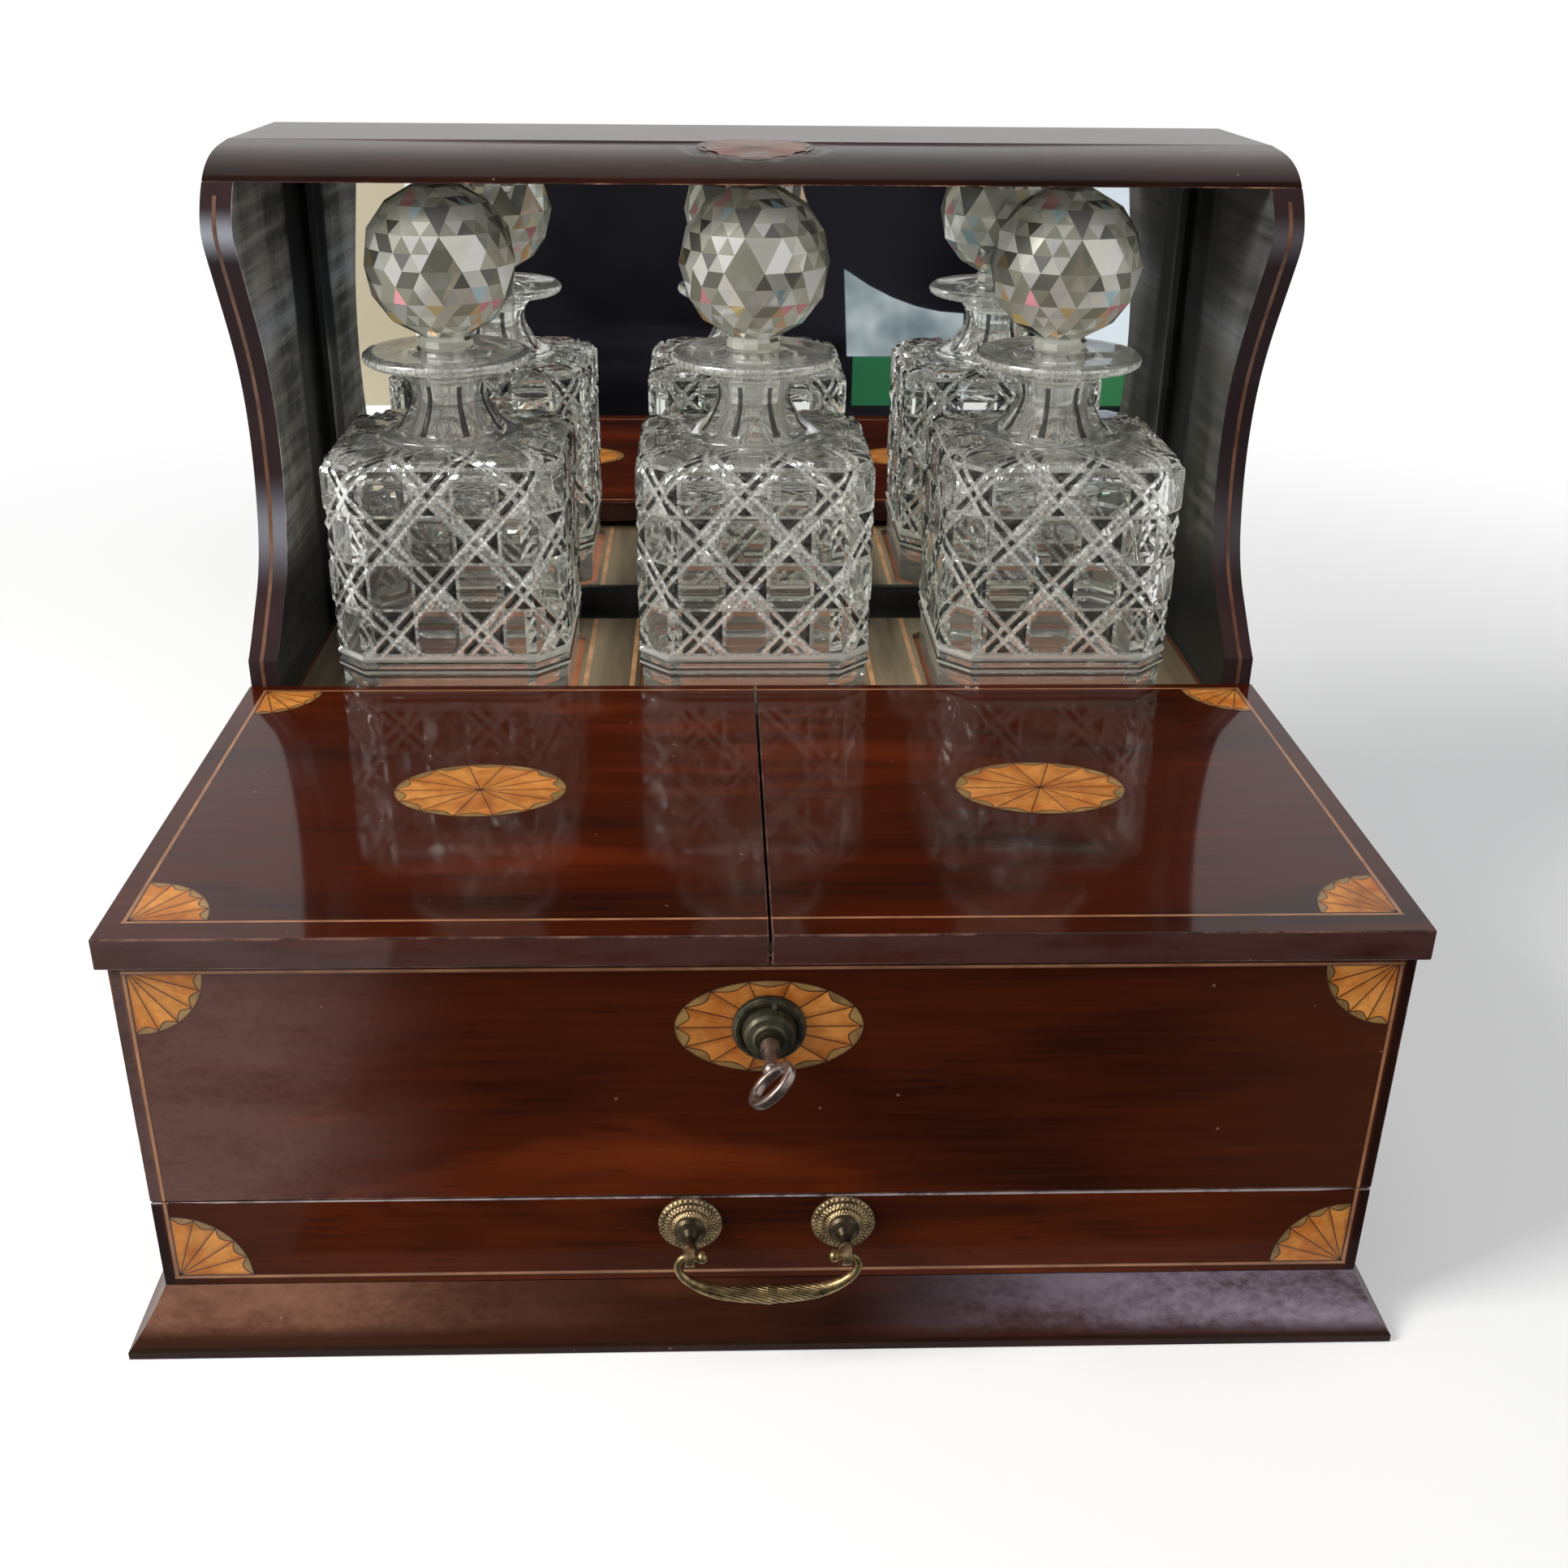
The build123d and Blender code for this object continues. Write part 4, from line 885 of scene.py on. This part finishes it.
def cut_depth(u, v):
    """Depth of the cane cutting at lattice place (u, v); 24 by 12 units to a button."""
    depth = 0.0
    for f in (u - v, u + v):
        w = wrapped(f - 12.0, 24.0)
        depth = max(depth, 1.25 * groove(w - 2.0, 2.0), 1.25 * groove(w + 2.0, 2.0))
    depth = max(depth, 1.0 * groove(wrapped(v - 6.0, 12.0), 1.0))
    depth = max(depth, 0.55 * groove(wrapped(u - 6.0, 12.0), 1.0))
    return depth


def chance(*place):
    """A fixed number from 0 to 1 for each place in the cutting."""
    return math.sin(sum(p * k for p, k in zip(place, (12.99, 78.23, 37.72, 4.58)))) * 43758.5 % 1.0


def cane_painted_light(u, v):
    """How bright (above 0, a painted glint) or dark (below 0, painted shade) one small facet of the cane
    cutting looks.
    """
    diagonals = (u - v, u + v)
    place = []
    for f in diagonals:
        turn, rest = divmod(f - 10.0, 24.0)
        place.append((2 * int(turn) + (rest < 4.0)) % 20)
    place += [(v - 6.0) // 12.0, (u - 6.0) // 12.0 % 20]
    pick = chance(*place)
    grain = chance(math.floor(u), math.floor(v), 5.0, 2.0)
    off_line = min(abs(abs(wrapped(f - 12.0, 24.0)) - 2.0) for f in diagonals)
    if off_line < 1.0:
        return (0.34 + 0.46 * pick) * (1.0 if off_line < 0.5 else 0.5) * (0.55 + 0.45 * grain)
    if (v - 6.0) % 12.0 < 1.0:
        return (0.30 + 0.55 * pick) * (0.6 + 0.4 * grain)
    if (u - 6.0) % 12.0 < 1.0:
        return 0.45 * pick * grain
    across, up = wrapped(u, 24.0), wrapped(v, 24.0)
    if abs(across) + abs(up) > 12.0:
        across, up = wrapped(u + 12.0, 24.0), wrapped(v + 12.0, 24.0)
    if abs(across) < 6.0 and abs(up) < 6.0:
        return 0.0
    if pick < 0.6:
        return -0.95 * (0.75 + 0.25 * grain)
    return 0.45 * grain if pick > 0.75 else 0.0


def neck_painted_light(r, z, panel, angle):
    """Painted shade on the edges between the neck's hollow panels, a painted highlight on the rim and painted
    shade under the lip.
    """
    sector = wrapped(angle, 2 * EIGHTH)
    grain = chance(round(angle * 40), round(r * 2), 9.0, 1.0)
    if panel >= 0.6:
        return -0.8 if abs(sector) > 0.335 else 0.16 * grain
    if r > 30.5:
        return 0.25 + 0.55 * grain
    if r > 19.0 and 124.0 < z < 129.0:
        return -0.5 * grain
    return 0.05 + 0.2 * grain * (r > 12.0 and z > 124.0)


class Shell:
    """Rings of COLUMNS points that are joined into the glass of one decanter standing on z 0."""

    def __init__(self):
        self.outer = octagon(HALF, CORNER)
        self.normals = outward(self.outer)
        self.angles = [2 * math.pi * i / COLUMNS - math.pi / 2 for i in range(COLUMNS)]
        self.verts, self.faces, self.flat, self.tone = [], [], [], []
        self.last = None

    def ring(self, points):
        self.verts.extend(points)
        return len(self.verts) - len(points)

    def oct_ring(self, inset, z):
        k = (HALF - inset) / HALF
        return self.ring([(x * k, y * k, z) for x, y in self.outer])

    def round_ring(self, r, z, panel):
        """A circle, or eight flats as far as panel goes from 0 to 1."""
        points = []
        for a in self.angles:
            flat = math.cos(EIGHTH) / math.cos(wrapped(a, 2 * EIGHTH)) * 1.03
            reach = r * (1 - panel + panel * flat)
            points.append((reach * math.cos(a), reach * math.sin(a), z))
        return self.ring(points)

    def face(self, points, flat, tone):
        self.faces.append(points)
        self.flat.append(flat)
        self.tone.append(tone)

    def bridge(self, ring, flat, tones):
        """Joins a ring to the one before it."""
        for i in range(COLUMNS):
            j = (i + 1) % COLUMNS
            self.face((self.last + i, self.last + j, ring + j, ring + i), flat, tones[i])
        self.last = ring

    def even(self, tone):
        return [tone] * COLUMNS

    def wall_place(self, i, j):
        """Place on the uncut wall and its outward direction; i and j may be halves."""
        ia, ib = math.floor(i) % COLUMNS, math.ceil(i) % COLUMNS
        f = i - math.floor(i)
        x, y = (self.outer[ia][k] * (1 - f) + self.outer[ib][k] * f for k in (0, 1))
        nx, ny = (self.normals[ia][k] * (1 - f) + self.normals[ib][k] * f for k in (0, 1))
        if j <= WALL_ROWS:
            return (x, y, FIRST + j * ROW), (nx, ny, 0.0)
        arc = (j - WALL_ROWS) * ROW
        turn = min(SHOULDER_TURN, arc / SHOULDER_RADIUS)
        rest = max(0.0, arc - SHOULDER_RADIUS * SHOULDER_TURN)
        inset = SHOULDER_RADIUS * (1 - math.cos(turn)) + rest
        z = FIRST + WALL_ROWS * ROW + SHOULDER_RADIUS * math.sin(turn) + rest * SHOULDER_SLOPE
        r, a = HALF - inset, math.atan2(y, x)
        k, blend = r / HALF, min(1.0, rest / ROUND_AFTER)
        px = x * k * (1 - blend) + r * math.cos(a) * blend
        py = y * k * (1 - blend) + r * math.sin(a) * blend
        return (px, py, z), (nx * math.cos(turn), ny * math.cos(turn), math.sin(turn))

    def cut_row(self, j, half):
        """A ring of wall points pressed in where the cuts run; half 0.5 gives the cells' middles."""
        fade = 1.0 if j < FADE_START else max(0.0, 1 - (j + half - FADE_START) / FADE_ROWS)
        points = []
        for i in range(COLUMNS):
            p, n = self.wall_place(i + half, j + half)
            d = cut_depth(i + half + COLUMN_SHIFT, j + half - ROW_SHIFT) * fade
            points.append(tuple(p[k] - n[k] * d for k in range(3)))
        return self.ring(points), fade

    def mesh(self, name):
        me = bpy.data.meshes.new(name)
        me.from_pydata([(x / 1000, y / 1000, z / 1000) for x, y, z in self.verts], [], self.faces)
        me.materials.append(GLASS)
        me.polygons.foreach_set("use_smooth", [not f for f in self.flat])
        # painted light: tones above 0 become painted glints (bright), tones below 0 painted shade (dark)
        face_values(me, "bright", [max(0.0, v) for v in self.tone])
        face_values(me, "dark", [max(0.0, -v) for v in self.tone])
        me.update()
        return me


def face_values(me, word, values):
    me.attributes.new(word, "FLOAT", "FACE").data.foreach_set("value", values)


# (inset, height, tone) up the foot, a tone above 0 being a painted glint and below 0 painted shade;
# (radius, height, panel) up the neck, over the lip and down the throat, of which the first are heights
# above the shoulder; (inset, height) down the smooth inside
FOOT = [(16.0, 1.6, 0), (5.0, 0.5, 0), (3.2, 0.0, 0), (2.2, 0.4, 0), (1.5, 1.6, 0), (1.35, 16.4, 0.1),
        (1.5, 17.6, -0.7), (0.3, 18.6, 0.1), (0.0, 19.8, 0.75), (0.5, 20.6, -0.8), (1.3, 21.2, 0.1),
        (1.3, 22.2, 0.1), (0.4, 23.2, -0.75), (0.0, 24.3, 0.6)]
NECK_START = [(27.5, 0.3, 0), (24.5, 1.0, 0), (21.5, 2.6, 0.2), (19.0, 5.0, 0.6)]
NECK = [(16.9, 110.0, 1), (15.2, 113.0, 1), (14.3, 116.0, 1), (14.2, 118.6, 1), (14.9, 121.6, 0.8),
        (16.6, 124.3, 0.3), (19.4, 126.4, 0), (23.0, 127.4, 0), (27.2, 128.0, 0), (29.8, 128.4, 0),
        (31.0, 129.2, 0), (31.5, 130.5, 0), (31.2, 131.7, 0), (30.1, 132.6, 0), (27.6, 132.8, 0),
        (21.6, 132.4, 0), (15.0, 132.8, 0), (11.6, 133.4, 0), (10.5, 133.5, 0), (9.95, 132.4, 0),
        (9.6, 126.0, 0), (9.15, 115.0, 0), (9.0, 111.0, 0), (9.4, 105.0, 0), (11.0, 100.0, 0),
        (13.5, 96.5, 0), (18.0, 95.2, 0)]
INSIDE = [(20.0, 95.0), (12.0, 94.6), (8.6, 93.2), (6.9, 90.8), (6.2, 87.0), (6.0, 80.0), (6.0, 20.0),
          (6.2, 14.0), (7.4, 10.6), (10.0, 8.8), (14.0, 8.2), (26.0, 8.0)]
WALL, HOLLOW_UNDER, INSIDE_FLOOR = 6.0, 2.2, 8.0


def add_foot(shell):
    centre = shell.ring([(0, 0, HOLLOW_UNDER)])
    shell.last = shell.oct_ring(*FOOT[0][:2])
    for i in range(COLUMNS):
        shell.face((centre, shell.last + (i + 1) % COLUMNS, shell.last + i), True, 0.0)
    for inset, z, look in FOOT[1:]:
        shell.bridge(shell.oct_ring(inset, z), True, shell.even(look))


def add_cut_wall(shell):
    """Wall and shoulder: cells of four small faces round a middle point."""
    grid = [shell.cut_row(j, 0)[0] for j in range(ROWS + 1)]
    # a painted glint along the wall's lowest row
    shell.bridge(grid[0], True, shell.even(0.5))
    for j in range(ROWS):
        middles, fade = shell.cut_row(j, 0.5)
        for i in range(COLUMNS):
            k = (i + 1) % COLUMNS
            cell = (grid[j] + i, grid[j] + k, grid[j + 1] + k, grid[j + 1] + i)
            for n, (du, dv) in enumerate(((0.5, 0.17), (0.83, 0.5), (0.5, 0.83), (0.17, 0.5))):
                tone = fade * cane_painted_light(i + COLUMN_SHIFT + du, j - ROW_SHIFT + dv)
                shell.face((cell[n], cell[(n + 1) % 4], middles + i), True, tone)
    shell.last = grid[ROWS]


def add_neck(shell):
    """Neck with eight hollow panels, lip, mouth and throat."""
    shoulder = shell.verts[shell.last][2]
    for r, z, panel in [(r, shoulder + rise, panel) for r, rise, panel in NECK_START] + NECK:
        tones = [neck_painted_light(r, z, panel, a) for a in shell.angles]
        shell.bridge(shell.round_ring(r, z, panel), False, tones)


def add_inside(shell):
    for inset, z in INSIDE:
        shell.bridge(shell.oct_ring(inset, z), inset == WALL, shell.even(0.0))
    centre = shell.ring([(0, 0, INSIDE_FLOOR)])
    for i in range(COLUMNS):
        shell.face((shell.last + i, shell.last + (i + 1) % COLUMNS, centre), False, 0.0)


def decanter_mesh():
    shell = Shell()
    add_foot(shell)
    add_cut_wall(shell)
    add_neck(shell)
    add_inside(shell)
    return shell.mesh("cut_decanter")


BALL_RADIUS, BALL_MIDDLE, BALL_CAP = 28.4, 165.1, 26.6
BALL_BOTTOM = BALL_MIDDLE - 26.2
BALL_RINGS = [(0, 12, 0), (25, 12, 15), (-25, 12, 15), (48, 12, 0), (-47, 12, 0), (70, 6, 15)]
FACET_SEED, SHARED_TONES, DARK_FACETS = 3, 0.55, 0.10
STEM_TOP = 9.8  # radius where the stem meets the ball
# (radius, height, material) down the stem: 0 clear, 1 ground
STEM = [(9.3, 138.2, 0), (10.4, 137.0, 0), (10.4, 134.6, 0), (9.4, 133.4, 0), (9.68, 131.6, 1),
        (8.9, 114.0, 1), (8.3, 113.2, 1)]


def circle(bm, radius, z):
    """Twelve points round the stem."""
    turns = [math.radians(30 * k) for k in range(12)]
    return [bm.verts.new((radius * math.cos(a), radius * math.sin(a), z)) for a in turns]


def at_bottom(v):
    return abs(v.co.z - BALL_BOTTOM) < 1e-4


def add_ball(bm):
    """Faceted ball, open at the bottom; its corners lie on rings of (latitude, count, first angle)."""
    for latitude, count, first in BALL_RINGS:
        up = math.radians(latitude)
        z = min(BALL_RADIUS * math.sin(up), BALL_CAP)
        for k in range(count):
            a = math.radians(360 / count * k + first)
            reach = BALL_RADIUS * math.cos(up)
            bm.verts.new((reach * math.cos(a), reach * math.sin(a), BALL_MIDDLE + z))
    circle(bm, STEM_TOP, BALL_BOTTOM)
    inner = bmesh.ops.convex_hull(bm, input=bm.verts)["geom_interior"]
    bmesh.ops.delete(bm, geom=[g for g in inner if isinstance(g, bmesh.types.BMVert)], context="VERTS")
    bmesh.ops.dissolve_limit(bm, angle_limit=math.radians(1.0), verts=bm.verts, edges=bm.edges)
    bm.normal_update()
    bottom = [f for f in bm.faces if all(at_bottom(v) for v in f.verts)]
    bmesh.ops.delete(bm, geom=bottom, context="FACES_ONLY")


def split_facets(bm):
    """Cuts every triangle of the ball in four, which keep their triangle's number."""
    bmesh.ops.triangulate(bm, faces=bm.faces)
    parent = bm.faces.layers.int.new("parent")
    for i, f in enumerate(bm.faces):
        f[parent] = i
    edges = [e for e in bm.edges if any(v.co.z > BALL_BOTTOM + 0.01 for v in e.verts)]
    bmesh.ops.subdivide_edges(bm, edges=edges, cuts=1, use_grid_fill=True)
    bmesh.ops.triangulate(bm, faces=bm.faces)
    bm.verts.ensure_lookup_table()


def add_stem(bm):
    """Short collar and ground plug under the ball."""
    opening = [v for v in bm.verts if at_bottom(v)]
    ring = sorted(opening, key=lambda v: math.atan2(v.co.y, v.co.x) % (2 * math.pi))
    for radius, z, mat in STEM:
        new = circle(bm, radius, z)
        for k in range(12):
            j = (k + 1) % 12
            bm.faces.new((ring[k], new[k], new[j], ring[j])).material_index = mat
        ring = new
    bm.faces.new(list(reversed(ring))).material_index = 1


def add_painted_facet_light(me):
    """Random tones for the facets, painted colours, glints and shade that stand for light thrown about inside
    the ball; over half of them the same within one large triangle.
    """
    local = random.Random(FACET_SEED)
    shared = [(local.random(), local.random(), local.random()) for _ in me.polygons]
    tones, bright, dark = [], [], []
    for p, owner in zip(me.polygons, me.attributes["parent"].data):
        own = (local.random(), local.random(), local.random())
        picks = shared[owner.value] if local.random() < SHARED_TONES else own
        on_ball = p.material_index == 0
        tones.append(picks[0])
        bright.append(0.5 + 0.5 * picks[1] if on_ball else 0.0)
        dark.append(0.75 if on_ball and picks[2] < DARK_FACETS else 0.0)
    for word, values in (("facet", tones), ("bright", bright), ("dark", dark)):
        face_values(me, word, values)


def stopper_mesh():
    bm = bmesh.new()
    add_ball(bm)
    split_facets(bm)
    add_stem(bm)
    bmesh.ops.recalc_face_normals(bm, faces=bm.faces)
    bmesh.ops.scale(bm, vec=(0.001, 0.001, 0.001), verts=bm.verts)
    me = bpy.data.meshes.new("ball_stopper")
    bm.to_mesh(me)
    bm.free()
    me.materials.append(FACET)
    me.materials.append(GROUND)
    add_painted_facet_light(me)
    return me


DECANTER, STOPPER = decanter_mesh(), stopper_mesh()
for word, turn in (("left", 24), ("centre", 6), ("right", 15)):
    lo, hi = corners("decanter_" + word)
    place = mm((lo.x + hi.x) / 2, (lo.y + hi.y) / 2, lo.z)
    d = add_object("cut_decanter_" + word, DECANTER)
    s = add_object("faceted_stopper_" + word, STOPPER)
    d.location = place
    s.location = place
    s.rotation_euler.z = math.radians(turn)
    bpy.context.view_layer.update()
    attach(d, "bottle_" + word)
    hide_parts("decanter_" + word)
    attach(s, "ball_stopper_" + word)
    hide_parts("stopper_" + word)


# Stage, lights and camera
WHITE = (1, 1, 1, 1)


def seen_directly(t):
    """1 where the eye, polish, a mirror or glass looks at it; 0 where it only gives light."""
    path = t.node("LightPath", out=None).outputs
    seen = t.math("MAXIMUM", path["Is Camera Ray"], path["Is Glossy Ray"])
    return t.math("MAXIMUM", seen, path["Is Transmission Ray"])


def stage_material():
    """Pale floor that keeps the shadow near the case and turns plain white further out."""
    t = Tree("pale_floor")
    seen = seen_directly(t)
    soft = t.node("BsdfDiffuse", {"Color": (0.78, 0.78, 0.78, 1)})
    near = t.node("AddShader", {0: soft, 1: t.light("Emission", WHITE, t.times(seen, 0.24))})
    white = t.light("Emission", WHITE, 1.0)
    reach = t.node("VectorMath", {0: t.pos}, out=1, operation="LENGTH")
    far = t.times(t.step(reach, 0.55, 1.15), seen)
    return t.finish(t.mix_shader(far, near, white))


def add_floor():
    reach, below_feet = 12.0, 0.0003
    me = bpy.data.meshes.new("floor")
    me.from_pydata(level(-reach, reach, -reach, reach, 0), [], [(0, 1, 2, 3)])
    me.materials.append(stage_material())
    o = add_object("floor", me)
    o.location.z = -below_feet


def card(name, corners, low, high, transmission=True, scale=3.0):
    """Studio board out of the camera's sight, that polish, mirror and glass show."""
    t = Tree(name)
    n = t.step(t.noise(scale, 3.0, 0.5), 0.3, 0.7)
    colour = t.mix(n, low, high)
    mat = t.finish(t.light("Emission", colour, 1.0))
    me = bpy.data.meshes.new(name)
    me.from_pydata(corners, [], [tuple(range(len(corners)))])
    me.materials.append(mat)
    o = add_object(name, me)
    o.visible_camera = False
    o.visible_diffuse = False
    o.visible_shadow = False
    o.visible_transmission = transmission


def upright(x0, x1, y, z0, z1):
    return [(x0, y, z0), (x1, y, z0), (x1, y, z1), (x0, y, z1)]


def level(x0, x1, y0, y1, z):
    return [(x0, y0, z), (x1, y0, z), (x1, y1, z), (x0, y1, z)]


def add_cards():
    dark = ((10, 10, 14), (32, 31, 36))
    card("front_card", upright(-0.37, 0.75, -1.25, 0.0, 1.3), *dark)
    card("overhead_card", level(-0.55, 1.1, -1.3, 0.25, 1.5), *dark, False)
    card("floor_card", level(-0.16, 1.0, -1.3, -0.175, 0.001), *dark, False)
    card("far_floor_card", level(-0.31, -0.16, -1.3, -0.45, 0.001), *dark, False)
    near = -0.80
    card("cream_card", upright(-0.62, -0.305, near, 0.0, 0.6), (198, 184, 156), (216, 204, 180))
    arch = [(0.232 - 0.119 * f, near, 0.092 + 0.042 * f * f) for f in (0.0, 0.2, 0.4, 0.6, 0.8, 1.0)]
    pale = [(0.118, near, 0.05), (0.232, near, 0.05)] + arch
    card("pale_card", pale, (104, 120, 126), (232, 240, 246), scale=11.0)
    card("green_card", upright(0.124, 0.232, near, 0.0, 0.05), (30, 82, 52), (46, 104, 70))
    card("window_card", upright(0.335, 0.455, near, 0.042, 0.6), (196, 210, 226), (226, 234, 242))
    card("green_card_right", upright(0.34, 0.455, near, 0.0, 0.042), (36, 88, 52), (56, 120, 76))


def add_world():
    """Plain white to look at, and a dim even light."""
    t = Tree("studio", bpy.data.worlds, "ShaderNodeOutputWorld")
    white = t.light("Background", WHITE, 1.0)
    dim = t.light("Background", (0.95, 0.97, 1.0, 1), 0.24)
    scene.world = t.finish(t.mix_shader(seen_directly(t), dim, white))


def add_light(name, place, target, size, power, colour=(1, 1, 1), glossy=True):
    data = bpy.data.lights.new(name, "AREA")
    data.shape = "RECTANGLE"
    data.size, data.size_y = size
    data.energy = power
    data.color = colour
    o = add_object(name, data)
    o.location = place
    o.rotation_euler = (Vector(target) - Vector(place)).to_track_quat("-Z", "Y").to_euler()
    o.visible_glossy = glossy


WIDTH = 1932  # the picture is square, in pixels
FOCUS = 2085.05  # focal length in pixels
OPTICAL_MIDDLE = (940.63, 953.70)  # the pixel that the camera points at
EYE = (-16.16, -558.12, 398.24)
PITCH, YAW, ROLL = (math.radians(v) for v in (25.513, -1.881, -0.564))


def add_camera():
    data = bpy.data.cameras.new("camera")
    data.sensor_fit = "HORIZONTAL"
    data.sensor_width = 36.0
    data.lens = data.sensor_width * FOCUS / WIDTH
    data.shift_x = (WIDTH / 2 - OPTICAL_MIDDLE[0]) / WIDTH
    data.shift_y = (OPTICAL_MIDDLE[1] - WIDTH / 2) / WIDTH
    data.clip_start = 0.01
    turn = Matrix.Rotation(YAW, 3, "Z")
    forward = turn @ Vector((0, math.cos(PITCH), -math.sin(PITCH)))
    right = turn @ Vector((1, 0, 0))
    down = turn @ Vector((0, -math.sin(PITCH), -math.cos(PITCH)))
    x = math.cos(ROLL) * right + math.sin(ROLL) * down
    y = -math.sin(ROLL) * right + math.cos(ROLL) * down
    m = Matrix((x, -y, -forward)).transposed().to_4x4()
    m.translation = mm(*EYE)
    o = add_object("camera", data)
    o.matrix_world = m
    scene.camera = o


add_floor()
add_cards()
add_world()
add_light("key_left", (-1.55, -0.6, 1.35), (0, 0, 0.12), (0.8, 0.8), 42.0, (1.0, 0.98, 0.95))
add_light("top", (0.1, -0.4, 2.2), (0, 0, 0.1), (1.6, 1.2), 9.0, glossy=False)
add_light("fill_front", (0.5, -1.9, 1.3), (0, 0, 0.15), (1.2, 1.0), 6.0, (0.96, 0.98, 1.0), glossy=False)
add_camera()
scene.view_settings.view_transform = "Standard"
